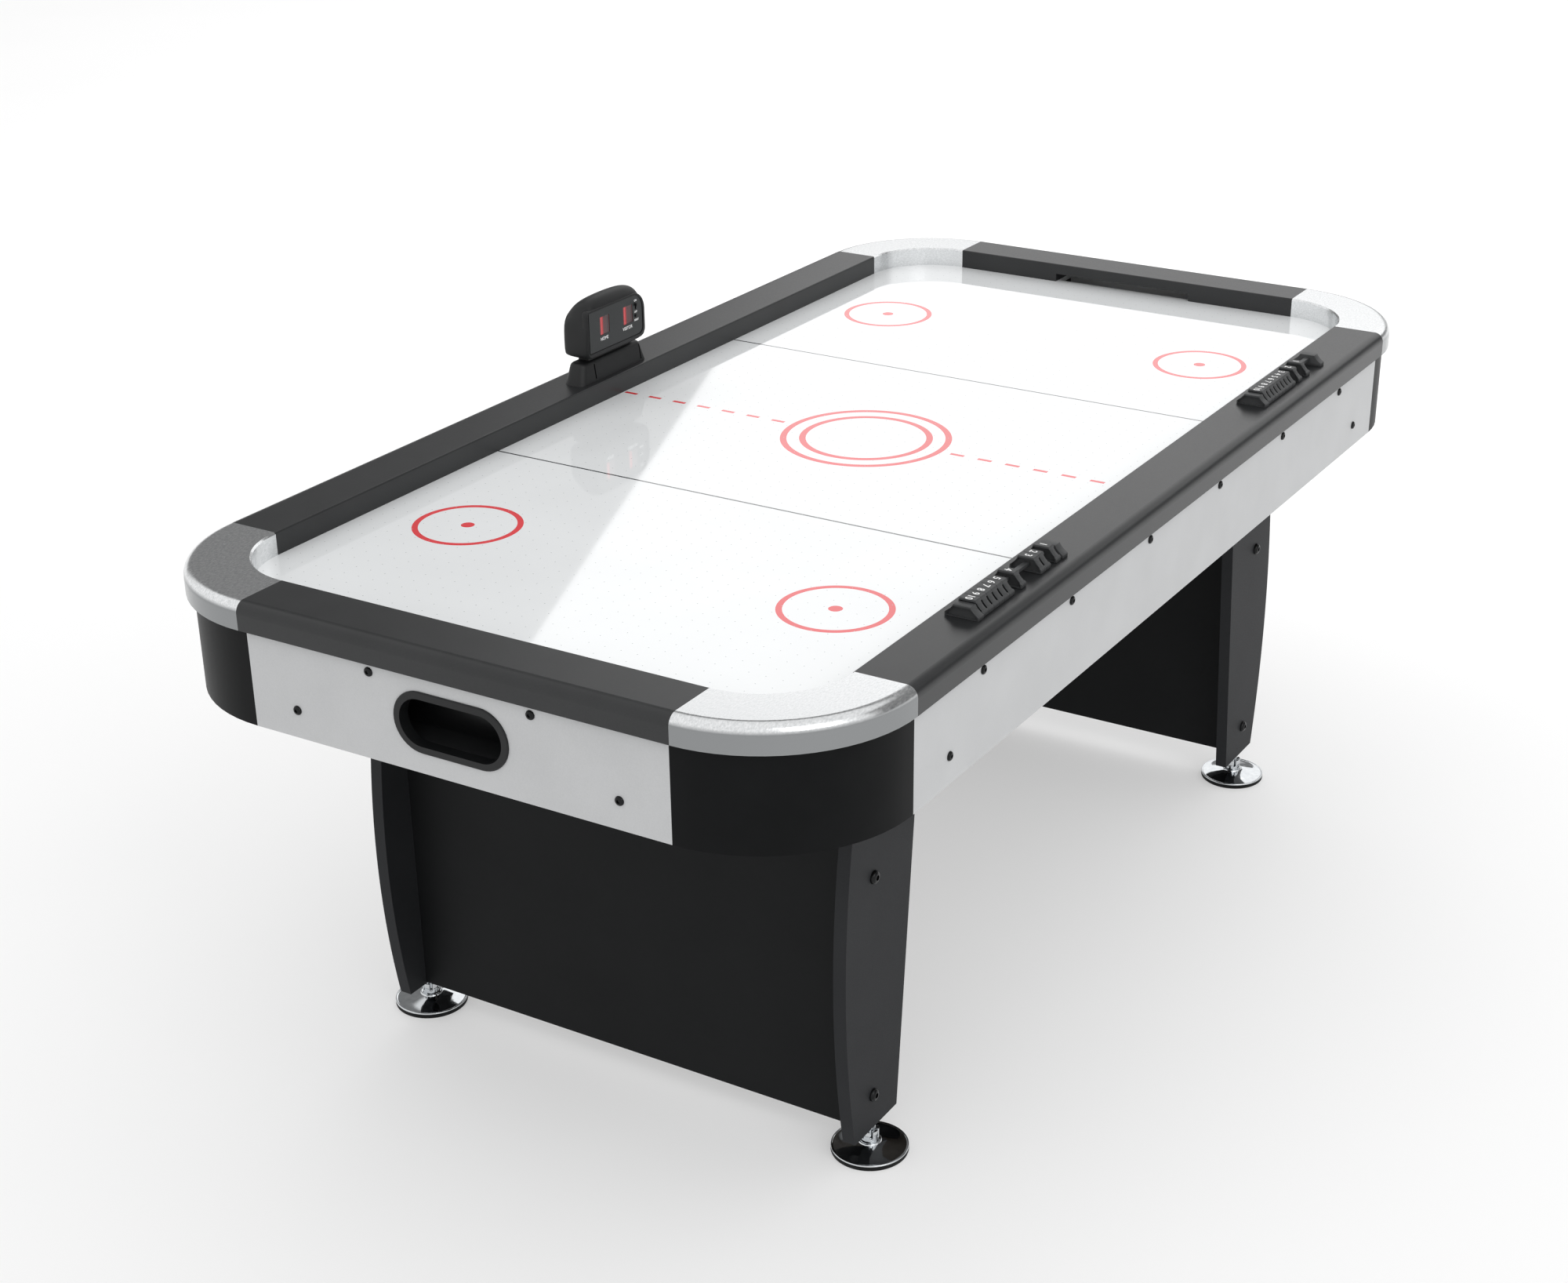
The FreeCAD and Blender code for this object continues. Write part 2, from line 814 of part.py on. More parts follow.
# The motor hangs from a three-armed spider whose lugs stand inside the drum's rim.
motor = new_body("blower_motor")
can = new_sketch(motor, "motor_can", "XY_Plane", "motor_low")
circle(can, ("0", "0"), "motor_radius")
pad(motor, can, "motor_height")
shaft = new_sketch(motor, "motor_shaft", "XY_Plane", "fan_low")
circle(shaft, ("0", "0"), "shaft_radius")
pad(motor, shaft, "motor_low - fan_low")
arm_end = "blower_radius - blower_wall - play_fit"
arms = []
for name, inner, rise in (
    ("spider_arm", "0", "spider_sheet"),
    ("spider_lug", f"{arm_end} - spider_sheet", "floor_low - spider_low"),
):
    part = new_sketch(motor, name, "XY_Plane", "spider_low")
    outline(
        part,
        [
            (inner, "-spider_width / 2"),
            (arm_end, "-spider_width / 2"),
            (arm_end, "spider_width / 2"),
            (inner, "spider_width / 2"),
        ],
    )
    arms.append(pad(motor, part, rise))
doc.recompute()
spider = motor.newObject("PartDesign::PolarPattern", "spider")
spider.Originals = arms
spider.Axis = (part, ["N_Axis"])
spider.Angle = 360
spider.Occurrences = 3
motor.Tip = spider
node("blower_motor", motor)

# Open impeller: a back plate with its hub and nine backward-curved blades.
fan = new_body("blower_impeller")
plate_sketch = new_sketch(fan, "fan_plate_outline", "XY_Plane", "fan_top - fan_plate")
circle(plate_sketch, ("0", "0"), "fan_radius")
pad(fan, plate_sketch, "fan_plate")
blade = new_sketch(fan, "blade_outline", "XY_Plane", "fan_low")
outline(
    blade,
    [
        ("blade_root", "0"),
        ("blade_root + blade_sheet", "0"),
        ("blade_tip", "blade_sweep"),
        ("blade_tip - blade_sheet", "blade_sweep + blade_sheet / 2"),
    ],
    {1: ("blade_bend", 1), 3: ("blade_bend - blade_sheet", -1)},
)
first_blade = pad(fan, blade, "fan_height - fan_plate + fan_weld")
doc.recompute()
blades = fan.newObject("PartDesign::PolarPattern", "blades")
blades.Originals = [first_blade]
blades.Axis = (blade, ["N_Axis"])
blades.Angle = 360
blades.Occurrences = 9
fan.Tip = blades
hub = new_sketch(fan, "hub_outline", "XY_Plane", "fan_top - fan_height / 2")
circle(hub, ("0", "0"), "fan_hub")
pad(fan, hub, "fan_height / 2")
fan_bore = new_sketch(fan, "bore_outline", "XY_Plane", "fan_top + 1")
circle(fan_bore, ("0", "0"), "shaft_radius + shaft_fit")
pocket(fan, fan_bore, "fan_height + 2")
node("blower_impeller", fan)

guard_low = "(blower_low - guard_bar)"
rings = []
for number in range(3):
    outer = f"guard_rim - {number} * guard_pitch"
    hoop = polygon("guard_hoop", "0", "0", guard_low, 24, outer, "guard_bar")
    gap = polygon("guard_gap", "0", "0", f"{guard_low} - 1", 24, f"{outer} - guard_bar", "guard_bar + 2")
    rings.append(cut("guard_ring", hoop, [gap]))
long_bar = ("-guard_rim + guard_bar / 2", "guard_rim - guard_bar / 2")
thin_bar = ("-guard_bar / 2", "guard_bar / 2")
spokes = [
    block("guard_x", long_bar, thin_bar, (guard_low, "blower_low")),
    block("guard_y", thin_bar, long_bar, (guard_low, "blower_low")),
]
node("blower_guard", join("blower_guard", rings + spokes))

# ---- mains inlet in the left apron -----------------------------------------

inlet_flange = block(
    "inlet_flange_plate",
    ("-apron_x - inlet_flange", "-apron_x"),
    ("inlet_place - inlet_width / 2", "inlet_place + inlet_width / 2"),
    ("inlet_height - inlet_tall / 2", "inlet_height + inlet_tall / 2"),
)
inlet_low = "inlet_height - inlet_tall / 2 + inlet_rim + inlet_fit"
inlet_high = "inlet_height + inlet_tall / 2 - inlet_rim - inlet_fit"
inlet_case = block(
    "inlet_case",
    ("-apron_x - 1", "-apron_x + inlet_deep"),
    ("inlet_place - inlet_body / 2", "inlet_place + inlet_body / 2"),
    (inlet_low, inlet_high),
)
inlet_well = block(
    "inlet_well",
    ("-apron_x - inlet_flange - 1", "-apron_x + inlet_deep - 2 * inlet_wall"),
    ("inlet_place - inlet_body / 2 + inlet_wall", "inlet_place + inlet_body / 2 - inlet_wall"),
    (f"{inlet_low} + inlet_wall", f"{inlet_high} - inlet_wall"),
)
inlet_shell = cut("inlet_shell", join("inlet_solid", [inlet_flange, inlet_case]), [inlet_well])
inlet_pins = [
    block(
        "inlet_pin",
        ("-apron_x + pin_setback", "-apron_x + inlet_deep - 2 * inlet_wall + 1"),
        (f"inlet_place + {step} * pin_pitch - pin_half", f"inlet_place + {step} * pin_pitch + pin_half"),
        (f"inlet_height + {rise} - pin_sheet / 2", f"inlet_height + {rise} + pin_sheet / 2"),
    )
    for step, rise in ((-1, "pin_low"), (0, "pin_high"), (1, "pin_low"))
]
node("mains_inlet", join("mains_inlet", [inlet_shell] + inlet_pins))

# ---- scoreboard on the left rail -------------------------------------------

stand_half = "stand_length / 2"
stand_side = prism(
    "stand_side",
    "YZ_Plane",
    [
        (f"score_y - {stand_half}", "table_height"),
        (f"score_y + {stand_half}", "table_height"),
        (f"score_y + {stand_half} - stand_end_slope", "stand_top - stand_round"),
        (f"score_y + {stand_half} - stand_end_slope - stand_round", "stand_top"),
        (f"score_y - {stand_half} + stand_end_slope + stand_round", "stand_top"),
        (f"score_y - {stand_half} + stand_end_slope", "stand_top - stand_round"),
    ],
    {2: ("stand_round * 1.1", 1), 4: ("stand_round * 1.1", 1)},
    "score_x - stand_depth",
    "score_x + stand_depth",
)
stand_end = prism(
    "stand_end",
    "XZ_Plane",
    [
        ("score_x - stand_depth / 2", "table_height - 1"),
        ("score_x + stand_depth / 2", "table_height - 1"),
        ("score_x + stand_depth / 2", "table_height + 1"),
        ("score_x + stand_depth / 2 - stand_slope", "stand_top + 1"),
        ("score_x - stand_depth / 2 + stand_slope", "stand_top + 1"),
        ("score_x - stand_depth / 2", "table_height + 1"),
    ],
    {},
    "score_y - stand_length",
    "score_y + stand_length",
)
stand = doc.addObject("Part::Common", "stand_block")
stand.Base = stand_side
stand.Tool = stand_end
neck = block(
    "stand_neck",
    ("score_x - neck_depth / 2", "score_x + neck_depth / 2"),
    ("score_y - neck_length / 2", "score_y + neck_length / 2"),
    ("stand_top - 2", "head_bottom"),
)
grooves = [
    block(
        "stand_groove",
        ("score_x + stand_depth / 2 - stand_slope - slot_cut", "score_x + stand_depth / 2 + 1"),
        (f"score_y {side} - slot_width / 2", f"score_y {side} + slot_width / 2"),
        ("table_height + slot_end", "stand_top - slot_end"),
    )
    for side in ("- slot_near", "+ slot_far")
]
stand_cut = cut("stand_cut", stand, grooves)
node("score_stand", join("score_stand", [stand_cut, neck]))

crown_gap = "(head_crown - head_corner)"
corner_in = "(head_half - head_corner)"
shoulder = f"(head_top - head_crown + sqrt({crown_gap}^2 - {corner_in}^2))"
arc_y = f"({corner_in} * head_crown / {crown_gap})"
arc_z = f"(head_top - head_crown + ({shoulder} - head_top + head_crown) * head_crown / {crown_gap})"


def head_outline():
    """Arched outline of the scoreboard's head."""
    corners = [
        ("score_y - head_half + head_foot_round", "head_bottom"),
        ("score_y + head_half - head_foot_round", "head_bottom"),
        ("score_y + head_half", "head_bottom + head_foot_round"),
        ("score_y + head_half", shoulder),
        (f"score_y + {arc_y}", arc_z),
        (f"score_y - {arc_y}", arc_z),
        ("score_y - head_half", shoulder),
        ("score_y - head_half", "head_bottom + head_foot_round"),
    ]
    foot = ("head_foot_round", 1)
    bend = ("head_corner", 1)
    return corners, {1: foot, 3: bend, 4: ("head_crown", 1), 5: bend, 7: foot}


def face_outline(inset="0"):
    """Outline of the display's panel, stepped in by an inset."""
    half = f"(panel_half - {inset})"
    foot = f"(panel_foot - {inset})"
    bend = f"(panel_corner - {inset})"
    low = f"(panel_low + {inset})"
    high = f"(panel_high - {inset})"
    corners = [
        (f"score_y - {half} + {foot}", low),
        (f"score_y + {half} - {foot}", low),
        (f"score_y + {half}", f"{low} + {foot}"),
        (f"score_y + {half}", f"{high} - {bend}"),
        (f"score_y + {half} - {bend}", high),
        (f"score_y - {half} + {bend}", high),
        (f"score_y - {half}", f"{high} - {bend}"),
        (f"score_y - {half}", f"{low} + {foot}"),
    ]
    return corners, {1: (foot, 1), 3: (bend, 1), 5: (bend, 1), 7: (foot, 1)}


def slope_cut(name, corners):
    """A wedge across the whole head, by its corners in side view."""
    return prism(name, "XZ_Plane", corners, {}, "score_y - head_half - 1", "score_y + head_half + 1")


corners, arcs = head_outline()
head = prism("head_shell", "YZ_Plane", corners, arcs, "score_back", "score_front")
soften(head, "Chamfer", lambda middle, edge: abs(middle.x - value("score_back")) < 0.01, "head_edge")
hood = slope_cut(
    "hood_slope",
    [
        ("score_front - hood_back", "head_top"),
        ("score_front", "panel_high + panel_rim"),
        ("score_front + 1", "panel_high + panel_rim"),
        ("score_front + 1", "head_top + 1"),
        ("score_front - hood_back", "head_top + 1"),
    ],
)
chin = slope_cut(
    "chin_slope",
    [
        ("score_front - chin_back", "head_bottom"),
        ("score_front - chin_back", "head_bottom - 1"),
        ("score_front + 1", "head_bottom - 1"),
        ("score_front + 1", "panel_low - panel_rim"),
        ("score_front", "panel_low - panel_rim"),
    ],
)
nape = slope_cut(
    "nape_slope",
    [
        ("score_back - 1", "head_bottom + nape_rise"),
        ("score_back", "head_bottom + nape_rise"),
        ("score_back + nape_back", "head_top"),
        ("score_back + nape_back", "head_top + 1"),
        ("score_back - 1", "head_top + 1"),
    ],
)
corners, arcs = face_outline()
recess = prism("score_recess", "YZ_Plane", corners, arcs, "panel_back", "score_front + 1")
button_well = rod(
    "button_well",
    "panel_back - button_travel - 1",
    "column_y",
    "button_centre",
    "button_radius + control_fit",
    "button_travel + 2",
    "x",
)
node("score_head", cut("score_head_shell", head, [recess, hood, chin, nape, button_well]))

corners, arcs = face_outline("control_fit")
face_blank = prism("score_face_blank", "YZ_Plane", corners, arcs, "panel_back", "panel_front")


def windows(name, depth):
    """Both digit windows as blocks, over a span of depth."""
    places = [f"score_y + {side} * window_place" for side in (-1, 1)]
    tall = ("window_centre - window_height / 2", "window_centre + window_height / 2")
    return [
        block(name, depth, (f"{place} - window_width / 2", f"{place} + window_width / 2"), tall)
        for place in places
    ]


window_cuts = windows("window_cut", ("panel_back - 1", "panel_front + 1"))
switch_cut = block(
    "switch_cut",
    ("panel_back - 1", "panel_front + 1"),
    ("column_y - switch_width / 2 - control_fit", "column_y + switch_width / 2 + control_fit"),
    ("switch_centre - switch_slot / 2", "switch_centre + switch_slot / 2"),
)
button_hole = rod(
    "button_hole",
    "panel_back - 1",
    "column_y",
    "button_centre",
    "button_radius + control_fit",
    "panel_sheet + 2",
    "x",
)
node("score_face", cut("score_face", face_blank, window_cuts + [switch_cut, button_hole]))

lenses = windows("digit_window", ("panel_back", "panel_front - window_sunk"))
node("digit_windows", group("digit_windows", lenses))

knob_top = "switch_centre + switch_slot / 2 - control_fit"
node(
    "power_switch",
    block(
        "power_switch",
        ("panel_back + control_fit", "panel_front + switch_stand"),
        ("column_y - switch_width / 2", "column_y + switch_width / 2"),
        (f"{knob_top} - switch_knob", knob_top),
    ),
)
node(
    "reset_button",
    rod(
        "reset_button",
        "panel_back + control_fit",
        "column_y",
        "button_centre",
        "button_radius",
        "panel_sheet + button_travel + 0.6",
        "x",
    ),
)

# ---- bead scorers on the right rail ----------------------------------------


def flared(width, top, foot, height, low):
    """Section of an end block or bead: upright foot, sloping flanks, flat top."""
    return [
        (f"bead_rail_x - {width} / 2", low),
        (f"bead_rail_x + {width} / 2", low),
        (f"bead_rail_x + {width} / 2", f"{low} + {foot}"),
        (f"bead_rail_x + {top} / 2", f"{low} + {height}"),
        (f"bead_rail_x - {top} / 2", f"{low} + {height}"),
        (f"bead_rail_x - {width} / 2", f"{low} + {foot}"),
    ]


def scorer_frame(name, middle):
    section = flared("block_width", "block_top", "block_foot", "block_height", "table_height")
    near_end = f"{middle} - scorer_length / 2"
    far_end = f"{middle} + scorer_length / 2"
    near = prism(name + "_near_block", "XZ_Plane", section, {}, near_end, f"{near_end} + block_thick")
    far = prism(name + "_far_block", "XZ_Plane", section, {}, f"{far_end} - block_thick", far_end)
    bar = block(
        name + "_bar",
        ("bead_rail_x - bar_width / 2", "bead_rail_x + bar_width / 2"),
        (f"{near_end} + block_thick / 2", f"{far_end} - block_thick / 2"),
        ("bar_bottom", "bar_bottom + bar_height"),
    )
    return join(name, [near, bar, far])


def bead(name, low):
    """A bead whose near face stands at low, threaded on the bar."""
    body = new_body(name)
    sketch = new_sketch(body, name + "_section", "XZ_Plane", f"-({low}) - bead_thick")
    outline(sketch, flared("bead_width", "bead_top", "bead_foot", "bead_height", "bead_low"))
    hole = [
        ("bead_rail_x - bar_width / 2 - bar_fit", "bar_bottom - bar_fit"),
        ("bead_rail_x + bar_width / 2 + bar_fit", "bar_bottom - bar_fit"),
        ("bead_rail_x + bar_width / 2 + bar_fit", "bar_bottom + bar_height + bar_fit"),
        ("bead_rail_x - bar_width / 2 - bar_fit", "bar_bottom + bar_height + bar_fit"),
    ]
    outline(sketch, hole)
    pad(body, sketch, "bead_thick")
    return node(name, body)


# How many beads stand against the near block, and the free space that each
# later bead leaves on its near side, as shares of the bar's free length.
bead_pitch = "(bead_thick + bead_gap)"
free_length = f"(scorer_length - 2 * block_thick - 10 * {bead_pitch} - bead_gap)"
near_order = [(number, 0) for number in (10, 9, 8, 7, 6, 5)]
near_order += [(4, 0.23), (3, 0.53), (2, 0), (1, 0.19)]
far_order = [(number, 0) for number in (10, 9, 8, 7, 6, 5, 4, 3)]
far_order += [(2, 0.18), (1, 0.25)]
frames = [scorer_frame("scorer_near", "near_scorer_y"), scorer_frame("scorer_far", "far_scorer_y")]
node("scorer_frames", group("scorer_frames", frames))
for side, middle, order in (("near", "near_scorer_y", near_order), ("far", "far_scorer_y", far_order)):
    share = 0
    for count, (number, extra) in enumerate(order):
        share += extra
        start = f"{middle} - scorer_length / 2 + block_thick + bead_gap"
        bead(f"bead_{side}_{number}", f"{start} + {count} * {bead_pitch} + {share:.2f} * {free_length}")

# ---- checks and files ------------------------------------------------------

doc.recompute()
faults = [item.Name for item in doc.Objects if {"Invalid", "Error"} & set(item.State)]
faults += [item.Label for item in nodes if item.Shape.isNull() or not item.Shape.isValid()]
faults += [item.Label for item in nodes if not item.Shape.Solids]
if faults:
    raise SystemExit("not built: " + ", ".join(faults))
os.makedirs("parts", exist_ok=True)
for item in nodes:
    item.Shape.exportStep(f"parts/{item.Label}.step")
print(len(nodes), "nodes written")
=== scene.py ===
from math import atan2, cos, pi, radians, sin

import bmesh
import bpy
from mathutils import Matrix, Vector


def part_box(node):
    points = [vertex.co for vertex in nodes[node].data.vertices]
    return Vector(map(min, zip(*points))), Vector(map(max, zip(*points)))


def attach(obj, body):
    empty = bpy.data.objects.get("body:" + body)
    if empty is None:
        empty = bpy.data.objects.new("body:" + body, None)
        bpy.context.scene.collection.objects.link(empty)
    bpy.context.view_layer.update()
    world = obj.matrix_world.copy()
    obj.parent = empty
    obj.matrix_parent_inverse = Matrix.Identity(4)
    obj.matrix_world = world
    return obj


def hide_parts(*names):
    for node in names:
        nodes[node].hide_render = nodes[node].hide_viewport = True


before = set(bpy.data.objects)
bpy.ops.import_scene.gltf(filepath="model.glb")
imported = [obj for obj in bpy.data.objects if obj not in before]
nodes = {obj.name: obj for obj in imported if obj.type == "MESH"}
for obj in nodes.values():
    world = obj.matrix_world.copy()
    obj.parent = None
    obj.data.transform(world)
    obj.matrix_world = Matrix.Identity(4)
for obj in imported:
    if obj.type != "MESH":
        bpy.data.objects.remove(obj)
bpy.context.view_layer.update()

mm = 0.001  # sizes below are in millimetres, Blender's are in metres


# what each finish is made of: colours, tone patches, grain and relief in millimetres
finishes = {
    # leather-grain PVC film wrapped on the rails: charcoal, with a soft broad sheen
    "railFilm": dict(
        colours=("#202122", "#252627"), patch=60, grain=2.0, rough=(0.28, 0.34), bump=(0.03, 0.06),
        sockets={"Specular IOR Level": 0.4},
    ),
    # melamine-faced board in light grey: even and dull, with a faint print of paper fibre
    "greyMelamine": dict(
        colours=("#b3b4b5", "#b9babb"), patch=90, grain=2.0, rough=(0.42, 0.5), bump=(0.05, 0.08)
    ),
    # pressed ABS sheet in black: deep, with a satin shine that follows the curve
    "blackAbsSheet": dict(
        colours=("#0b0c0d", "#0f1011"), patch=50, grain=1.2, rough=(0.38, 0.46), bump=(0.08, 0.08),
        sockets={"Specular IOR Level": 0.09},
    ),
    # charcoal melamine on the leg sides: flat and even
    "charcoalMelamine": dict(
        colours=("#232426", "#28292b"), patch=120, grain=1.8, rough=(0.5, 0.6), bump=(0.06, 0.1),
        sockets={"Specular IOR Level": 0.15},
    ),
    # black melamine on the leg ends: the darkest board
    "blackMelamine": dict(
        colours=("#131415", "#171819"), patch=120, grain=1.8, rough=(0.5, 0.6), bump=(0.06, 0.1),
        sockets={"Specular IOR Level": 0.12},
    ),
    # injection-moulded ABS with a fine spark-eroded texture: matt black-grey
    "mouldedAbs": dict(
        colours=("#131415", "#171819"), patch=25, grain=0.9, rough=(0.42, 0.52), bump=(0.12, 0.08),
        sockets={"Specular IOR Level": 0.35},
    ),
    # polystyrene beads and end blocks: dark grey, slightly waxy
    "beadPolystyrene": dict(
        colours=("#363738", "#3c3d3e"), patch=12, grain=0.9, rough=(0.4, 0.5), bump=(0.1, 0.06),
        sockets={"Specular IOR Level": 0.4},
    ),
    # printed polycarbonate sheet in front of the score display: smooth and near black
    "printedPanel": dict(
        colours=("#171a1b", "#1b1e1f"), patch=30, grain=0.8, rough=(0.3, 0.4), bump=(0.05, 0.04)
    ),
    # ABS of the puck return: black with a low shine inside the curve
    "returnAbs": dict(
        colours=("#121314", "#161718"), patch=25, grain=1.0, rough=(0.3, 0.4), bump=(0.1, 0.06),
        sockets={"Specular IOR Level": 0.3},
    ),
    # high-impact polystyrene chute behind the slot: near black
    "chutePlastic": dict(
        colours=("#111213", "#151617"), patch=40, grain=1.2, rough=(0.35, 0.45), bump=(0.08, 0.08)
    ),
    # black-oxide steel: dark, with a small hard highlight
    "blackOxide": dict(
        colours=("#101112", "#161718"), patch=6, grain=0.8, rough=(0.24, 0.34), bump=(0.05, 0.03),
        sockets={"Metallic": 0.6},
    ),
    # nitrile rubber ring under each foot: black and dull
    "footRubber": dict(
        colours=("#0a0b0c", "#0e0f10"), patch=10, grain=0.8, rough=(0.55, 0.7), bump=(0.15, 0.08),
        sockets={"Specular IOR Level": 0.2},
    ),
    # moulded polypropylene blower case and socket: black, a little greasy in its shine
    "blowerPlastic": dict(
        colours=("#1d1e1f", "#232425"), patch=30, grain=1.0, rough=(0.36, 0.48), bump=(0.1, 0.08)
    ),
    # glass-filled nylon impeller: grey, dull, with a streaky surface
    "impellerNylon": dict(
        colours=("#4a4c4e", "#55575a"), patch=12, grain=0.8, rough=(0.45, 0.6), bump=(0.15, 0.08)
    ),
    # oil-tempered hardboard under the air chamber: brown, mottled with fibre
    "hardboard": dict(
        colours=("#2b2621", "#39322b"), patch=14, grain=1.5, rough=(0.6, 0.75), bump=(0.3, 0.2)
    ),
    # smooth small buttons and switch knob in black acetal
    "controlAcetal": dict(
        colours=("#0c0d0e", "#111213"), patch=8, grain=0.6, rough=(0.25, 0.35), bump=(0.05, 0.03)
    ),
    # two-part silkscreen ink, white, very slightly grey where it is thin
    "whiteInk": dict(
        colours=("#dcdddd", "#f0f0f0"), patch=5, grain=0.5, rough=(0.45, 0.55), bump=(0.05, 0.02)
    ),
}

# the CAD nodes that show; the others are replaced by pieces made further down
nodeFinish = {
    "side_rail_left": "railFilm",
    "side_rail_right": "railFilm",
    "end_rail_near": "railFilm",
    "end_rail_far": "railFilm",
    "side_apron_left": "greyMelamine",
    "side_apron_right": "greyMelamine",
    "end_apron_near": "greyMelamine",
    "end_apron_far": "greyMelamine",
    "corner_aprons": "blackAbsSheet",
    "leg_plate_near_left": "charcoalMelamine",
    "leg_plate_near_right": "charcoalMelamine",
    "leg_plate_far_left": "charcoalMelamine",
    "leg_plate_far_right": "charcoalMelamine",
    "leg_panel_near": "blackMelamine",
    "leg_panel_far": "blackMelamine",
    "return_bezels": "returnAbs",
    "goal_boxes": "chutePlastic",
    "chamber_floor": "hardboard",
    "blower_housing": "blowerPlastic",
    "blower_impeller": "impellerNylon",
    "mains_inlet": "blowerPlastic",
    "power_switch": "controlAcetal",
    "reset_button": "controlAcetal",
    "playfield": "lacqueredPlayfield",
    "corner_caps": "satinSilverLacquer",
    "chamber_battens": "planedPine",
    "leg_cleats": "planedPine",
    "blower_motor": "zincPlate",
    "blower_guard": "zincPlate",
    "digit_windows": "redAcrylicLens",
}


def hexLinear(code):
    # sRGB hex to the linear colour that the shaders work in
    parts = [int(code[i:i + 2], 16) / 255 for i in (1, 3, 5)]
    return [p / 12.92 if p <= 0.04045 else ((p + 0.055) / 1.055) ** 2.4 for p in parts] + [1.0]


def connect(tree, node, links):
    # feeds a node's sockets from other sockets, or from the output that another node has in use
    for key, source in links.items():
        if isinstance(source, bpy.types.Node):
            source = next(socket for socket in source.outputs if socket.enabled)
        tree.links.new(source, node.inputs[key])


def addNode(tree, kind, settings=None, links=None):
    # one shader node, with its settings and what feeds it
    node = tree.nodes.new("ShaderNode" + kind)
    for key, value in (settings or {}).items():
        if isinstance(key, str) and hasattr(node, key):
            setattr(node, key, value)
        else:
            node.inputs[key].default_value = value
    connect(tree, node, links or {})
    return node


def startMaterial(name, sockets):
    material = bpy.data.materials.new(name)
    material.use_nodes = True
    tree = material.node_tree
    shader = tree.nodes["Principled BSDF"]
    for key, value in sockets.items():
        shader.inputs[key].default_value = value
    place = addNode(tree, "TexCoord").outputs["Object"]
    return material, tree, shader, place


def surfaceFinish(name, colours, patch, grain, rough, bump, sockets=None):
    # tone drifts over patches, and gloss and relief follow a fine grain
    material, tree, shader, place = startMaterial(name, sockets or {})
    drift = addNode(tree, "TexNoise", {"Scale": 1000 / patch, "Detail": 3.0}, {"Vector": place})
    fine = addNode(tree, "TexNoise", {"Scale": 1000 / grain, "Detail": 2.0}, {"Vector": place})
    both = addNode(tree, "Math", {"operation": "ADD"}, {0: drift, 1: fine})
    tone = addNode(tree, "MapRange", {"From Min": 0.75, "From Max": 1.25}, {"Value": both})
    dark, light = [hexLinear(code) for code in colours]
    colour = addNode(tree, "Mix", {"data_type": "RGBA", 6: dark, 7: light}, {0: tone})
    span = {"From Min": 0.3, "From Max": 0.7, "To Min": rough[0], "To Max": rough[1]}
    gloss = addNode(tree, "MapRange", span, {"Value": fine})
    relief = addNode(tree, "Bump", {"Strength": bump[0], "Distance": bump[1] * mm}, {"Height": fine})
    connect(tree, shader, {"Base Color": colour, "Roughness": gloss, "Normal": relief})
    return material


materials = {name: surfaceFinish(name, **finish) for name, finish in finishes.items()}

playfieldPrint = {
    "ringPlace": (308.9, 620.7),
    "ringRadius": 76.0,
    "ringLine": 9.0,
    "dotRadius": 10.0,
    "centreRings": (131.6, 101.1),
    "centreLine": 10.5,
    "dashSpan": (152.0, 468.0),
    "dashPitch": 48.0,
    "dashWidth": 7.5,
    "zoneLine": 342.4,
    "zoneWidth": 4.0,
    "holePitch": 25.4,
    "holeRadius": 0.8,
    "board": ("#e4e6e7", "#e7e9ea"),
    "red": ("#d8262f", "#dd3039"),
    "grey": "#4a4d4f",
    # painted shade: the grey that stands for the shade inside each air hole
    "hole": "#9fa3a5",
    "rough": (0.03, 0.05),
}


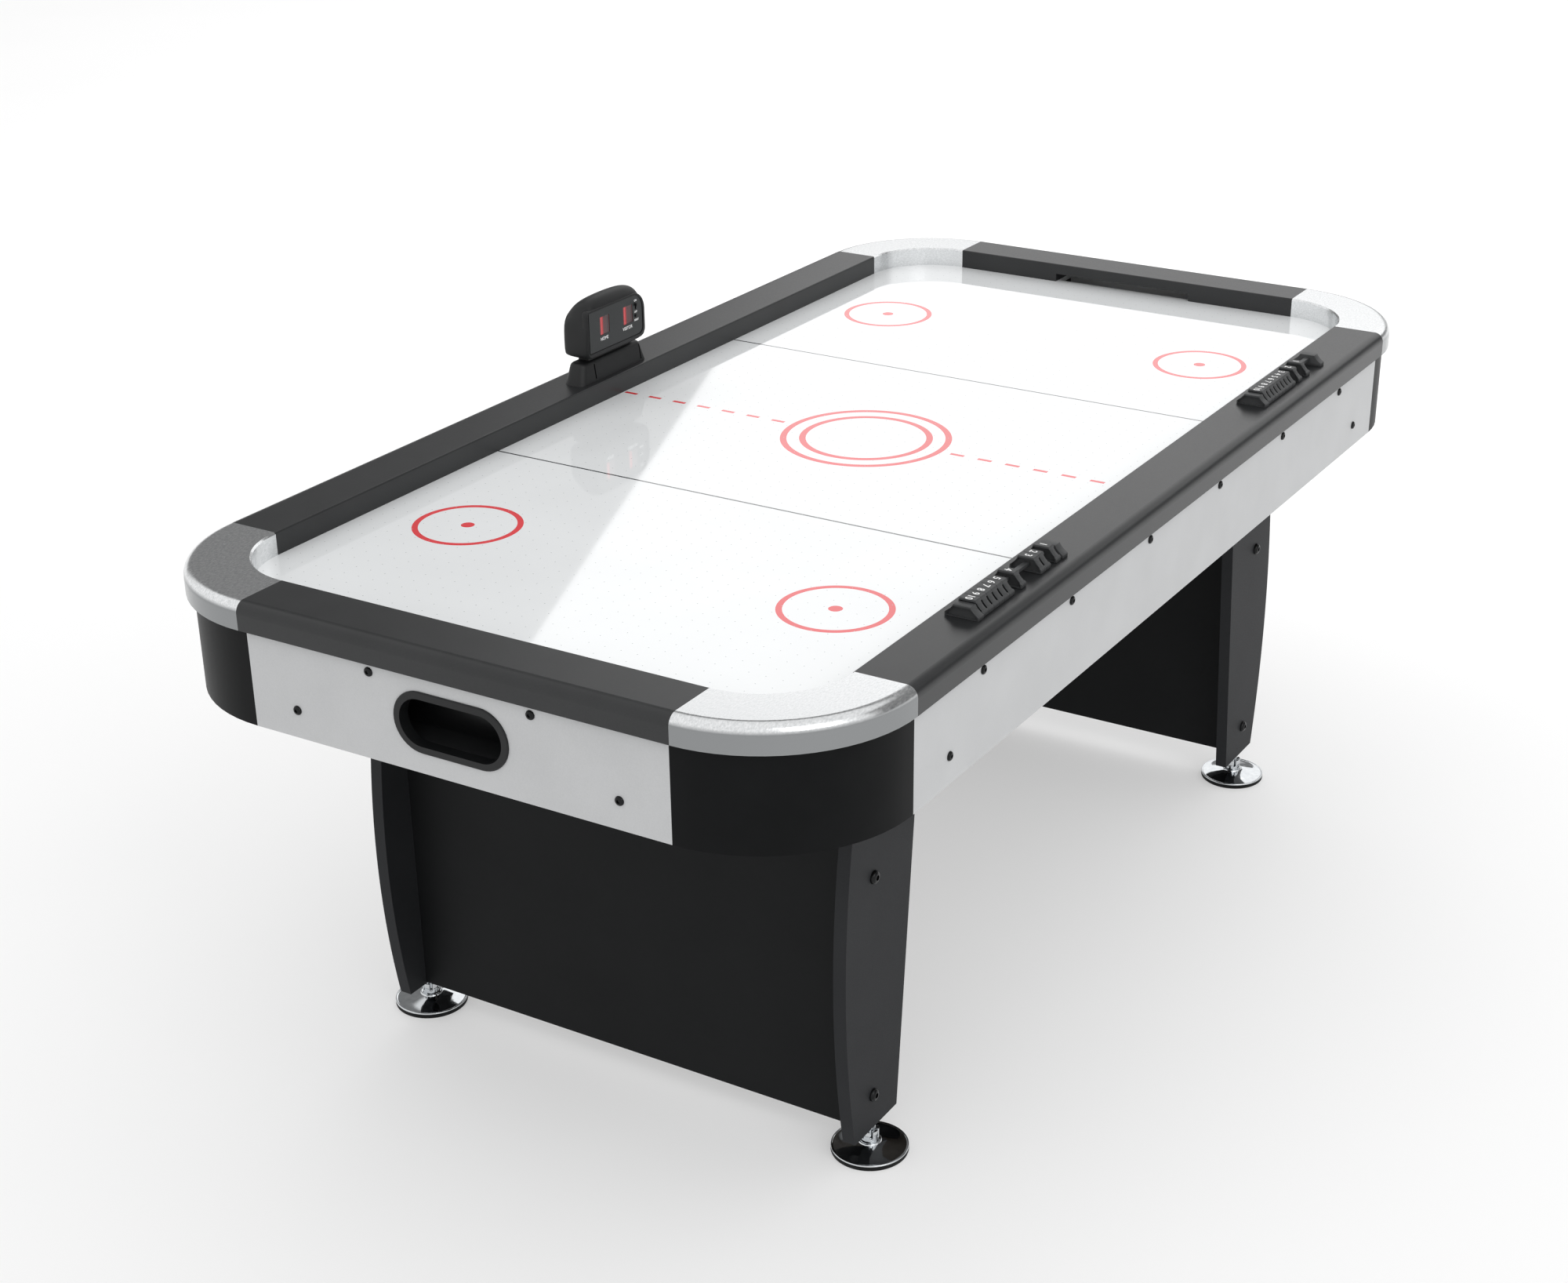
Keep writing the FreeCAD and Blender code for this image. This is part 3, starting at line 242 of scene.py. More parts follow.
def makePlayfieldFinish(plan):
    # acrylic-lacquered MDF with screen print under the lacquer: mirror-like at a low angle, with air holes
    material, tree, shader, place = startMaterial(
        "lacqueredPlayfield", {"IOR": 1.49, "Coat Weight": 0.6, "Coat Roughness": 0.03}
    )
    # plan of the table in millimetres, folded into one quarter
    flat = addNode(tree, "VectorMath", {"operation": "MULTIPLY", 1: (1000, 1000, 0)}, {0: place})
    quarter = addNode(tree, "VectorMath", {"operation": "ABSOLUTE"}, {0: flat})
    split = addNode(tree, "SeparateXYZ", {}, {"Vector": quarter}).outputs
    ring = addNode(tree, "VectorMath", {"operation": "DISTANCE", 1: (*plan["ringPlace"], 0)}, {0: quarter})
    middle = addNode(tree, "VectorMath", {"operation": "LENGTH"}, {0: quarter})

    # a row of dashes along the centre line
    first, last = plan["dashSpan"]
    start = addNode(tree, "Math", {"operation": "SUBTRACT", 1: first}, {0: split["X"]})
    step = addNode(tree, "Math", {"operation": "FLOORED_MODULO", 1: plan["dashPitch"]}, {0: start})
    dash = addNode(tree, "Math", {"operation": "LESS_THAN", 1: plan["dashPitch"] / 2}, {0: step})
    span = {"operation": "COMPARE", 1: (first + last) / 2, 2: (last - first) / 2}
    within = addNode(tree, "Math", span, {0: split["X"]})
    narrow = addNode(tree, "Math", {"operation": "LESS_THAN", 1: plan["dashWidth"] / 2}, {0: split["Y"]})
    red = addNode(tree, "Math", {"operation": "MULTIPLY"}, {0: dash, 1: within})
    red = addNode(tree, "Math", {"operation": "MULTIPLY"}, {0: red, 1: narrow})

    # then the dots and rings: what each is measured from, its radius and half its width
    circles = [(ring, 0.0, plan["dotRadius"]), (ring, plan["ringRadius"], plan["ringLine"] / 2)]
    circles += [(middle, radius, plan["centreLine"] / 2) for radius in plan["centreRings"]]
    for away, radius, half in circles:
        line = addNode(tree, "Math", {"operation": "COMPARE", 1: radius, 2: half}, {0: away})
        red = addNode(tree, "Math", {"operation": "ADD"}, {0: red, 1: line})
    span = {"operation": "COMPARE", 1: plan["zoneLine"], 2: plan["zoneWidth"] / 2}
    grey = addNode(tree, "Math", span, {0: split["Y"]})

    # air holes at the middle of each square of a grid, only as grey dots of painted shade with a dip
    pitch = plan["holePitch"]
    grid = addNode(tree, "VectorMath", {"operation": "DIVIDE", 1: (pitch, pitch, 1)}, {0: quarter})
    cell = addNode(tree, "VectorMath", {"operation": "FRACTION"}, {0: grid})
    away = addNode(tree, "VectorMath", {"operation": "DISTANCE", 1: (0.5, 0.5, 0)}, {0: cell})
    hole = addNode(tree, "Math", {"operation": "LESS_THAN", 1: plan["holeRadius"] / pitch}, {0: away})

    drift = addNode(tree, "TexNoise", {"Scale": 6.0, "Detail": 2.0}, {"Vector": place})
    tone = addNode(tree, "MapRange", {"From Min": 0.35, "From Max": 0.65}, {"Value": drift})
    board, ink = [
        addNode(tree, "Mix", {"data_type": "RGBA", 6: hexLinear(dark), 7: hexLinear(light)}, {0: tone})
        for dark, light in (plan["board"], plan["red"])
    ]
    colour = addNode(tree, "Mix", {"data_type": "RGBA", 7: hexLinear(plan["grey"])}, {0: grey, 6: board})
    colour = addNode(tree, "Mix", {"data_type": "RGBA"}, {0: red, 6: colour, 7: ink})
    # painted shade in the air holes
    colour = addNode(tree, "Mix", {"data_type": "RGBA", 7: hexLinear(plan["hole"])}, {0: hole, 6: colour})

    wave = addNode(tree, "TexNoise", {"Scale": 90.0, "Detail": 2.0}, {"Vector": place})
    span = {"From Min": 0.3, "From Max": 0.7, "To Min": plan["rough"][0], "To Max": plan["rough"][1]}
    gloss = addNode(tree, "MapRange", span, {"Value": wave})
    dip = addNode(tree, "Math", {"operation": "MULTIPLY", 1: 4.0}, {0: hole})
    depth = addNode(tree, "Math", {"operation": "SUBTRACT"}, {0: wave, 1: dip})
    relief = addNode(tree, "Bump", {"Strength": 0.03, "Distance": 0.1 * mm}, {"Height": depth})
    connect(tree, shader, {"Base Color": colour, "Roughness": gloss, "Normal": relief})
    return material


capFinish = {
    "silver": ("#d2d4d5", "#ecedee"),
    "streak": 2.4,
    "rough": (0.17, 0.24),
    # painted shade: the darker grey mixed into the silver on the skirt
    "paintedShadeSkirt": "#8f9192",
    # the skirt, where shade is painted, is what lies outside this radius of each corner's centre, and below
    # the rounding
    "skirtCentre": (340.4, 847.0),
    "skirtRadius": 190.0,
    "skirtTop": (822.0, 827.0),
}


def makeSatinFinish(plan):
    # vacuum-metallised ABS under satin lacquer: bright silver with faint streaks, and painted shade on the
    # skirt, which is mixed towards a darker grey
    material, tree, shader, place = startMaterial("satinSilverLacquer", {"Metallic": 1.0})
    lay = addNode(tree, "Mapping", {"Scale": (1.0, 0.4, 1.0)}, {"Vector": place})
    streak = addNode(tree, "TexNoise", {"Scale": 1000 / plan["streak"], "Detail": 3.0}, {"Vector": lay})
    tone = addNode(tree, "MapRange", {"From Min": 0.3, "From Max": 0.7}, {"Value": streak})
    dark, light = [hexLinear(code) for code in plan["silver"]]
    silver = addNode(tree, "Mix", {"data_type": "RGBA", 6: dark, 7: light}, {0: tone})

    flat = addNode(tree, "VectorMath", {"operation": "MULTIPLY", 1: (1000, 1000, 0)}, {0: place})
    quarter = addNode(tree, "VectorMath", {"operation": "ABSOLUTE"}, {0: flat})
    centre = (*plan["skirtCentre"], 0)
    away = addNode(tree, "VectorMath", {"operation": "DISTANCE", 1: centre}, {0: quarter})
    outside = addNode(tree, "Math", {"operation": "GREATER_THAN", 1: plan["skirtRadius"]}, {0: away})
    height = addNode(tree, "SeparateXYZ", {}, {"Vector": place}).outputs["Z"]
    low, high = [level * mm for level in plan["skirtTop"]]
    span = {"From Min": low, "From Max": high, "To Min": 1.0, "To Max": 0.0}
    below = addNode(tree, "MapRange", span, {"Value": height})
    # painted shade: the skirt's mask, fading in below the rounding
    paintedShadeSkirt = addNode(tree, "Math", {"operation": "MULTIPLY"}, {0: outside, 1: below})
    paintedShadeMix = {"data_type": "RGBA", 7: hexLinear(plan["paintedShadeSkirt"])}
    colour = addNode(tree, "Mix", paintedShadeMix, {0: paintedShadeSkirt, 6: silver})

    span = {"From Min": 0.3, "From Max": 0.7, "To Min": plan["rough"][0], "To Max": plan["rough"][1]}
    gloss = addNode(tree, "MapRange", span, {"Value": streak})
    relief = addNode(tree, "Bump", {"Strength": 0.05, "Distance": 0.05 * mm}, {"Height": streak})
    connect(tree, shader, {"Base Color": colour, "Roughness": gloss, "Normal": relief})
    return material


def makeChromeFinish(colours=("#c9cccf", "#d6d9db"), patch=9.0, rough=(0.04, 0.12)):
    # bright nickel-chrome plate on pressed steel: mirrors its surroundings, with faint polishing haze
    material, tree, shader, place = startMaterial("chromePlate", {"Metallic": 1.0})
    haze = addNode(tree, "TexNoise", {"Scale": 1000 / patch, "Detail": 4.0}, {"Vector": place})
    tone = addNode(tree, "MapRange", {"From Min": 0.3, "From Max": 0.7}, {"Value": haze})
    dark, light = [hexLinear(code) for code in colours]
    colour = addNode(tree, "Mix", {"data_type": "RGBA", 6: dark, 7: light}, {0: tone})
    span = {"From Min": 0.3, "From Max": 0.7, "To Min": rough[0], "To Max": rough[1]}
    gloss = addNode(tree, "MapRange", span, {"Value": haze})
    connect(tree, shader, {"Base Color": colour, "Roughness": gloss})
    return material


def makeZincFinish(colours=("#96999b", "#b4b7b9"), crystal=5.0, rough=(0.3, 0.45)):
    # zinc-plated steel of the motor and guard: pale grey with a crystalline mottle
    material, tree, shader, place = startMaterial("zincPlate", {"Metallic": 1.0})
    spangle = addNode(tree, "TexVoronoi", {"Scale": 1000 / crystal}, {"Vector": place})
    cast = addNode(tree, "SeparateColor", {}, {"Color": spangle.outputs["Color"]})
    dark, light = [hexLinear(code) for code in colours]
    colour = addNode(tree, "Mix", {"data_type": "RGBA", 6: dark, 7: light}, {0: cast})
    gloss = addNode(tree, "MapRange", {"To Min": rough[0], "To Max": rough[1]}, {"Value": cast})
    connect(tree, shader, {"Base Color": colour, "Roughness": gloss})
    return material


def makePineFinish(colours=("#c39a63", "#e0c08c"), rough=(0.5, 0.68)):
    # planed pine battens: yellow wood with darker growth lines along the length
    material, tree, shader, place = startMaterial("planedPine", {})
    lay = addNode(tree, "Mapping", {"Scale": (1.0, 0.06, 1.0)}, {"Vector": place})
    rings = addNode(tree, "TexWave", {"Scale": 26.0, "Distortion": 5.0, "Detail": 3.0}, {"Vector": lay})
    tone = rings.outputs["Fac"]
    dark, light = [hexLinear(code) for code in colours]
    colour = addNode(tree, "Mix", {"data_type": "RGBA", 6: dark, 7: light}, {0: tone})
    gloss = addNode(tree, "MapRange", {"To Min": rough[0], "To Max": rough[1]}, {"Value": tone})
    relief = addNode(tree, "Bump", {"Strength": 0.2, "Distance": 0.2 * mm}, {"Height": tone})
    connect(tree, shader, {"Base Color": colour, "Roughness": gloss, "Normal": relief})
    return material


digitLens = {
    "windows": (-41.5, 24.5),  # where along the table each window has its middle
    "half": 13.25,
    "between": -8.5,
    "rough": (0.12, 0.2),
    # painted highlight and shade across a window, from its left edge
    "paintedGlintAndShade": (
        (0.04, "#5c191d"), (0.1, "#a8262c"), (0.17, "#d04c52"), (0.22, "#c6282e"), (0.32, "#a92026"),
        (0.38, "#50262a"), (0.8, "#46282b"), (0.85, "#141011"), (0.91, "#141011"), (0.98, "#5c2427"),
    ),
}


def makeLensFinish(plan):
    # deep red acrylic over the digits, with a painted highlight, a bright band down its left side, and
    # painted shade, dark to the right
    material, tree, shader, place = startMaterial(
        "redAcrylicLens", {"IOR": 1.49, "Coat Weight": 0.5, "Coat Roughness": 0.05}
    )
    along = addNode(tree, "SeparateXYZ", {}, {"Vector": place}).outputs["Y"]
    first, second = [
        addNode(tree, "MapRange", {
            "From Min": (middle - plan["half"]) * mm, "From Max": (middle + plan["half"]) * mm,
        }, {"Value": along})
        for middle in plan["windows"]
    ]
    beyond = addNode(tree, "Math", {"operation": "GREATER_THAN", 1: plan["between"] * mm}, {0: along})
    across = addNode(tree, "Mix", {"data_type": "FLOAT"}, {0: beyond, 2: first, 3: second})
    # painted highlight and shade: the ramp paints a pinkish glint near the left edge and dark red beyond it
    ramp = addNode(tree, "ValToRGB", {}, {"Fac": across})
    stops = ramp.color_ramp.elements
    paintedGlintAndShade = plan["paintedGlintAndShade"]
    for stop, (spot, code) in zip(stops, (paintedGlintAndShade[0], paintedGlintAndShade[-1])):
        stop.position = spot
        stop.color = hexLinear(code)
    for spot, code in paintedGlintAndShade[1:-1]:
        stops.new(spot).color = hexLinear(code)
    wave = addNode(tree, "TexNoise", {"Scale": 300.0, "Detail": 2.0}, {"Vector": place})
    span = {"From Min": 0.3, "From Max": 0.7, "To Min": plan["rough"][0], "To Max": plan["rough"][1]}
    gloss = addNode(tree, "MapRange", span, {"Value": wave})
    connect(tree, shader, {"Base Color": ramp, "Roughness": gloss})
    return material


for material in (
    makePlayfieldFinish(playfieldPrint), makeSatinFinish(capFinish), makeChromeFinish(), makeZincFinish(),
    makePineFinish(), makeLensFinish(digitLens),
):
    materials[material.name] = material
for name, finish in nodeFinish.items():
    nodes[name].data.materials.clear()
    nodes[name].data.materials.append(materials[finish])
print("finishes:", len(materials))


def clearSelection():
    if bpy.context.mode != "OBJECT":
        bpy.ops.object.mode_set(mode="OBJECT")
    bpy.ops.object.select_all(action="DESELECT")


def pick(piece):
    clearSelection()
    piece.select_set(True)
    bpy.context.view_layer.objects.active = piece


def faceOutwards():
    bpy.ops.mesh.select_all(action="SELECT")
    bpy.ops.mesh.remove_doubles(threshold=0.00001)
    bpy.ops.mesh.normals_make_consistent(inside=False)


def turnedPiece(name, rings, sides=48):
    # a closed round piece about Z, grown from a disc by extruding and scaling ring after ring
    clearSelection()
    radius, height = rings[0]
    bpy.ops.mesh.primitive_circle_add(
        vertices=sides, radius=radius * mm, fill_type="NGON", location=(0, 0, height * mm)
    )
    piece = bpy.context.object
    piece.name = name
    bpy.ops.object.transform_apply(location=True, rotation=True, scale=True)
    bpy.ops.object.mode_set(mode="EDIT")
    bpy.ops.mesh.select_all(action="SELECT")
    for nextRadius, nextHeight in rings[1:]:
        bpy.ops.mesh.extrude_region_move(
            TRANSFORM_OT_translate={"value": (0, 0, (nextHeight - height) * mm)}
        )
        grow = nextRadius / radius
        bpy.ops.transform.resize(value=(grow, grow, 1), center_override=(0, 0, nextHeight * mm))
        radius, height = nextRadius, nextHeight
    faceOutwards()
    bpy.ops.object.mode_set(mode="OBJECT")
    return piece


def selectFaces(piece, test):
    # in edit mode, selects the faces whose middle and normal pass the test
    bpy.ops.mesh.select_mode(type="FACE")
    bpy.ops.mesh.select_all(action="DESELECT")
    mesh = bmesh.from_edit_mesh(piece.data)
    for face in mesh.faces:
        face.select = bool(test(face.calc_center_median(), face.normal))
    bmesh.update_edit_mesh(piece.data)


def selectEdges(piece, test):
    # in edit mode, selects the edges whose middle and direction pass the test
    bpy.ops.mesh.select_mode(type="EDGE")
    bpy.ops.mesh.select_all(action="DESELECT")
    mesh = bmesh.from_edit_mesh(piece.data)
    for edge in mesh.edges:
        along = edge.verts[1].co - edge.verts[0].co
        edge.select = bool(test((edge.verts[0].co + edge.verts[1].co) / 2, along.normalized()))
    bmesh.update_edit_mesh(piece.data)


def settle(piece):
    # puts the piece's place into its mesh
    pick(piece)
    bpy.ops.object.transform_apply(location=True, rotation=True, scale=True)


def selectCorners(piece, test):
    # in edit mode, selects the vertices whose place in millimetres passes the test
    bpy.ops.mesh.select_mode(type="VERT")
    bpy.ops.mesh.select_all(action="DESELECT")
    mesh = bmesh.from_edit_mesh(piece.data)
    for vertex in mesh.verts:
        vertex.select = bool(test(vertex.co / mm))
    bmesh.update_edit_mesh(piece.data)


def copyTo(master, name, place, turn=(0, 0, 0)):
    piece = master.copy()
    piece.data = master.data.copy()
    piece.name = name
    bpy.context.scene.collection.objects.link(piece)
    piece.location = [value * mm for value in place]
    piece.rotation_euler = [radians(value) for value in turn]
    settle(piece)
    return piece


def joinPieces(name, parts):
    pick(parts[0])
    for part in parts[1:]:
        part.select_set(True)
    bpy.ops.object.join()
    piece = bpy.context.object
    piece.name = name
    return piece


def applyModifier(piece, kind, **settings):
    pick(piece)
    modifier = piece.modifiers.new(kind, kind)
    for key, value in settings.items():
        setattr(modifier, key, value)
    bpy.ops.object.modifier_apply(modifier=modifier.name)


def smooth(piece, angle=35):
    pick(piece)
    bpy.ops.object.shade_smooth_by_angle(angle=radians(angle))


def finishPiece(piece, finish, body, slot, *replaced):
    piece.data.materials.clear()
    piece.data.materials.append(materials[finish])
    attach(piece, body)
    if replaced:
        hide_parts(*replaced)
    return piece


def boxPiece(name, low, high):
    # a block between two corners
    clearSelection()
    middle = [(a + b) / 2 * mm for a, b in zip(low, high)]
    bpy.ops.mesh.primitive_cube_add(size=1, location=middle)
    piece = bpy.context.object
    piece.name = name
    piece.scale = [(b - a) * mm for a, b in zip(low, high)]
    settle(piece)
    return piece


def sliceAcross(axis, places):
    # in edit mode, cuts the whole mesh by planes across an axis
    normal = [0, 0, 0]
    normal[axis] = 1
    for place in places:
        bpy.ops.mesh.select_all(action="SELECT")
        bpy.ops.mesh.bisect(plane_co=[value * place * mm for value in normal], plane_no=normal)


def takeAway(piece, tool):
    # cuts the tool's shape out of the piece
    applyModifier(piece, "BOOLEAN", object=tool, operation="DIFFERENCE", solver="EXACT")
    bpy.data.objects.remove(tool)


def roundedBoard(name, low, high, bends):
    # a board facing +X with its four corners rounded
    board = boxPiece(name, low, high)
    middle = [(a + b) / 2 for a, b in zip(low, high)]
    bpy.ops.object.mode_set(mode="EDIT")
    for (side, rise), bend in zip(((-1, -1), (-1, 1), (1, -1), (1, 1)), bends):
        selectEdges(board, lambda spot, along: abs(along.x) > 0.9
                    and (spot.y / mm - middle[1]) * side > 0.3 * (high[1] - low[1])
                    and (spot.z / mm - middle[2]) * rise > 0.3 * (high[2] - low[2]))
        bpy.ops.mesh.bevel(offset=bend * mm, segments=10, affect="EDGES")
    bpy.ops.object.mode_set(mode="OBJECT")
    return board


def arcRings(outer, low, high, inner, count):
    # rings of a quarter-round dome from (outer, low) up to (inner, high)
    return [
        (inner + (outer - inner) * cos(pi / 2 * i / count), low + (high - low) * sin(pi / 2 * i / count))
        for i in range(count + 1)
    ]


# domed screws of the aprons and bolts of the legs

screws = {
    "radius": 6.6, "brim": 0.7, "height": 3.6, "socket": 2.6, "socketDepth": 1.6,
    "shank": 2.0, "shankLength": 6.0,
    "sideTop": (-657.0, -394.2, -131.4, 131.4, 394.2, 657.0), "sideLow": (-746.0, 746.0),
    "endTop": (-128.5, 128.5), "endLow": (-258.0, 258.0),
    "topHeight": 781.5, "lowHeight": 696.0,
}
bolts = {
    "radius": 10.0, "brim": 0.7, "height": 6.5, "socket": 4.0, "socketDepth": 3.0,
    "shank": 3.0, "shankLength": 8.0,
    "y": 693.0, "heights": (101.5, 455.0),
}


def domedHead(name, plan):
    # standing on its shank along +Z, with a socket sunk in the dome
    dome = arcRings(plan["radius"], plan["brim"], plan["height"], plan["socket"], 6)
    rings = [(plan["shank"], -plan["shankLength"]), (plan["shank"], 0), (plan["radius"], 0), *dome]
    head = turnedPiece(name, rings + [(plan["socket"], plan["height"] - plan["socketDepth"])], 24)
    smooth(head, 40)
    return head


screwMaster = domedHead("screwMaster", screws)
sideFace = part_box("side_apron_right")[1].x / mm
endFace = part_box("end_apron_far")[1].y / mm
screwPlaces = []
for side in (-1, 1):
    for row, height in (("Top", screws["topHeight"]), ("Low", screws["lowHeight"])):
        screwPlaces += [((side * sideFace, spot, height), (0, 90 * side, 0)) for spot in screws["side" + row]]
        screwPlaces += [((spot, side * endFace, height), (-90 * side, 0, 0)) for spot in screws["end" + row]]
heads = [copyTo(screwMaster, "screwHead", place, turn) for place, turn in screwPlaces]
screwHeads = joinPieces("apronScrewHeads", heads)
finishPiece(screwHeads, "blackOxide", "root", "guard_steel")

boltMaster = domedHead("boltMaster", bolts)
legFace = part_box("leg_plate_near_right")[1].x / mm
heads = [
    copyTo(boltMaster, "boltHead", (side * legFace, end * bolts["y"], height), (0, 90 * side, 0))
    for side in (-1, 1) for end in (-1, 1) for height in bolts["heights"]
]
boltHeads = joinPieces("legBoltHeads", heads)
finishPiece(boltHeads, "blackOxide", "root", "guard_steel")
bpy.data.objects.remove(screwMaster)
bpy.data.objects.remove(boltMaster)
print("screws and bolts:", len(screwPlaces), "and", len(heads))


# levelling feet

feet = {
    # rings of each turned part, as radius and height from the floor
    "tyre": [(50, 0), (55.0, 0), (56.2, 1.0), (56.7, 2.4), (56.7, 7.4), (50, 7.4)],
    "disc": [
        (48, 7.2), (56.3, 7.2), (56.7, 7.6), (56.8, 8.1), (56.8, 8.8), (56.5, 9.4), (55.8, 9.8), (55.0, 9.8),
        (54.2, 9.3), (53.6, 8.9), (52.6, 8.9), (40, 11.6), (28, 14.2), (19, 16.1), (17.6, 16.3),
        (17.2, 16.8), (17.0, 17.6), (16.2, 18.2), (15.2, 18.2), (14.4, 17.8), (7.5, 17.8), (7.0, 18),
        (7.0, 70),
    ],
    "nutRadius": 13.5, "nutBore": 9.2, "nutLow": 17.2, "nutMiddle": 24.0, "nutTop": 36.0, "nutSeat": 2.0,
    "nutSides": 36, "slotSides": 2, "slotPitch": 6, "nutEdge": 0.4,
}


def castleNut(plan):
    # a crown of six teeth with slots between them, above a plain ring
    rings = [(plan["nutRadius"], plan["nutLow"]), (plan["nutRadius"], plan["nutMiddle"])]
    nut = turnedPiece("castleNut", rings, plan["nutSides"])
    pick(nut)
    bpy.ops.object.mode_set(mode="EDIT")
    selectFaces(nut, lambda middle, normal: normal.z > 0.9)
    bpy.ops.mesh.inset(thickness=(plan["nutRadius"] - plan["nutBore"]) * mm)
    bpy.ops.mesh.extrude_region_move(TRANSFORM_OT_translate={"value": (0, 0, -plan["nutSeat"] * mm)})
    step = 2 * pi / plan["nutSides"]

    def isTooth(middle, normal):
        ring = Vector((middle.x, middle.y)).length > (plan["nutBore"] + 0.5) * mm
        place = int((atan2(middle.y, middle.x) % (2 * pi)) / step) % plan["slotPitch"]
        return normal.z > 0.9 and ring and place >= plan["slotSides"]

    selectFaces(nut, isTooth)
    rise = (plan["nutTop"] - plan["nutMiddle"]) * mm
    bpy.ops.mesh.extrude_region_move(TRANSFORM_OT_translate={"value": (0, 0, rise)})
    faceOutwards()
    bpy.ops.object.mode_set(mode="OBJECT")
    applyModifier(
        nut, "BEVEL", width=plan["nutEdge"] * mm, segments=2, limit_method="ANGLE", angle_limit=radians(40)
    )
    smooth(nut)
    return nut


tyreMaster = turnedPiece("tyreMaster", feet["tyre"], 64)
discMaster = turnedPiece("discMaster", feet["disc"], 64)
smooth(tyreMaster)
smooth(discMaster, 40)
nutMaster = castleNut(feet)
for end in ("near", "far"):
    for hand in ("left", "right"):
        body = f"foot_{end}_{hand}"
        low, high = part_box(body)
        place = ((low.x + high.x) / 2 / mm, (low.y + high.y) / 2 / mm, 0)
        metal = [copyTo(master, "footMetal", place) for master in (discMaster, nutMaster)]
        disc = joinPieces(f"footChrome_{end}_{hand}", metal)
        finishPiece(disc, "chromePlate", body, "foot_chrome", body)
        tyre = copyTo(tyreMaster, f"footRing_{end}_{hand}", place)
        finishPiece(tyre, "footRubber", body, "foot_chrome")
for master in (tyreMaster, discMaster, nutMaster):
    bpy.data.objects.remove(master)
print("feet: 4")


# scoreboard

scoreHead = {
    "low": (-523.0, -90.5, 876.0), "high": (-469.0, 73.5, 974.0), "middleY": -8.5,
    "slices": ((-510, -490, -474), (-76, -49, 32, 59), (886, 915, 948)),
    # cage corners to shift: spans of x, of distance from the middle and of z, then the shift
    "shifts": (
        ((-524, -522), (0, 99), (973, 975), (6, 0, -15)),
        ((-512, -509), (0, 99), (973, 975), (2, 0, -4)),
        ((-491, -489), (0, 99), (973, 975), (0, 0, 1.5)),
        ((-475, -473), (0, 99), (973, 975), (-3, 0, -2)),
        ((-470, -468), (0, 99), (973, 975), (0, 0, -14.5)),
        ((-524, -515), (0, 99), (947, 958), (1.5, 0, 0)),
        ((-524, -522), (0, 99), (875, 877), (3, 0, 3)),
        ((-470, -468), (0, 99), (875, 877), (-2, 0, 5)),
        ((-530, -460), (81, 83), (950, 980), (0, -10, -21)),
        ((-530, -460), (81, 83), (940, 949.9), (0, -0.5, -12)),
        ((-530, -460), (66, 69), (952, 980), (0, 0, -7)),
        ((-530, -460), (39, 42), (956, 980), (0, 0, -0.5)),
        ((-530, -460), (81, 83), (875, 882), (0, -3, 3)),
        ((-524, -518), (81, 83), (870, 980), (2, -1, 0)),
    ),
    # boards between two corners, rounded by so much at left low, left high, right low and right high
    "frame": ((-480.0, -89.4, 881.0), (-469.0, 72.4, 958.6), (8.0, 7.0, 15.0, 31.0)),
    "frameEdge": 1.4,
    "recess": ((-475.0, -87.3, 887.0), (-460.0, 66.5, 955.5), (2.5, 2.5, 12.0, 26.0)),
    "panel": ((-472.0, -84.2, 887.3), (-470.0, 66.2, 955.2), (1.0, 1.0, 11.7, 25.7)),
    # openings in the panel, as spans of y and z, cut right through from behind it to in front
    "openings": (
        ((-54.75, -28.25), (912.0, 942.0)), ((11.25, 37.75), (912.0, 942.0)), ((45.6, 49.4), (931.0, 941.0)),
    ),
    "through": (-480.0, -460.0),
    "button": (47.5, 919.5), "buttonHole": 2.8,
}


def makeScoreHousing(plan):
    # a soft moulded shell: a sliced cage drawn in at its corners and subdivided, with a sunk front
    housing = boxPiece("scoreHousing", plan["low"], plan["high"])
    bpy.ops.object.mode_set(mode="EDIT")
    for axis, places in enumerate(plan["slices"]):
        sliceAcross(axis, places)
    for spanX, spanY, spanZ, shift in plan["shifts"]:
        for side in (-1, 1):
            selectCorners(housing, lambda spot: spanX[0] <= spot.x <= spanX[1]
                          and spanY[0] <= abs(spot.y - plan["middleY"]) <= spanY[1]
                          and (spot.y - plan["middleY"]) * side > 0
                          and spanZ[0] <= spot.z <= spanZ[1])
            move = (shift[0] * mm, shift[1] * side * mm, shift[2] * mm)
            bpy.ops.transform.translate(value=move)
    faceOutwards()
    bpy.ops.object.mode_set(mode="OBJECT")
    applyModifier(housing, "SUBSURF", levels=3, render_levels=3)
    # the front half of the moulding is a frame around the panel, with a crisp rim
    rim = roundedBoard("scoreRim", *plan["frame"])
    applyModifier(
        rim, "BEVEL", width=plan["frameEdge"] * mm, segments=3, limit_method="ANGLE", angle_limit=radians(60)
    )
    for part in (housing, rim):
        takeAway(part, roundedBoard("scoreRecess", *plan["recess"]))
    housing = joinPieces("scoreHousing", [housing, rim])
    smooth(housing, 40)
    return housing


def makeScorePanel(plan):
    # the sheet over the display, with openings for the digits, the slider and the button
    panel = roundedBoard("scorePanel", *plan["panel"])
    back, front = plan["through"]
    for (left, right), (low, high) in plan["openings"]:
        takeAway(panel, boxPiece("opening", (back, left, low), (front, right, high)))
    reach = (front - back) / 2
    hole = turnedPiece("opening", [(plan["buttonHole"], -reach), (plan["buttonHole"], reach)], 24)
    hole.rotation_euler = (0, radians(90), 0)
    hole.location = ((back + front) / 2 * mm, plan["button"][0] * mm, plan["button"][1] * mm)
    settle(hole)
    takeAway(panel, hole)
    return panel


housing = makeScoreHousing(scoreHead)
finishPiece(housing, "mouldedAbs", "root", "score_plastic", "score_head")
finishPiece(makeScorePanel(scoreHead), "printedPanel", "root", "score_panel", "score_face")

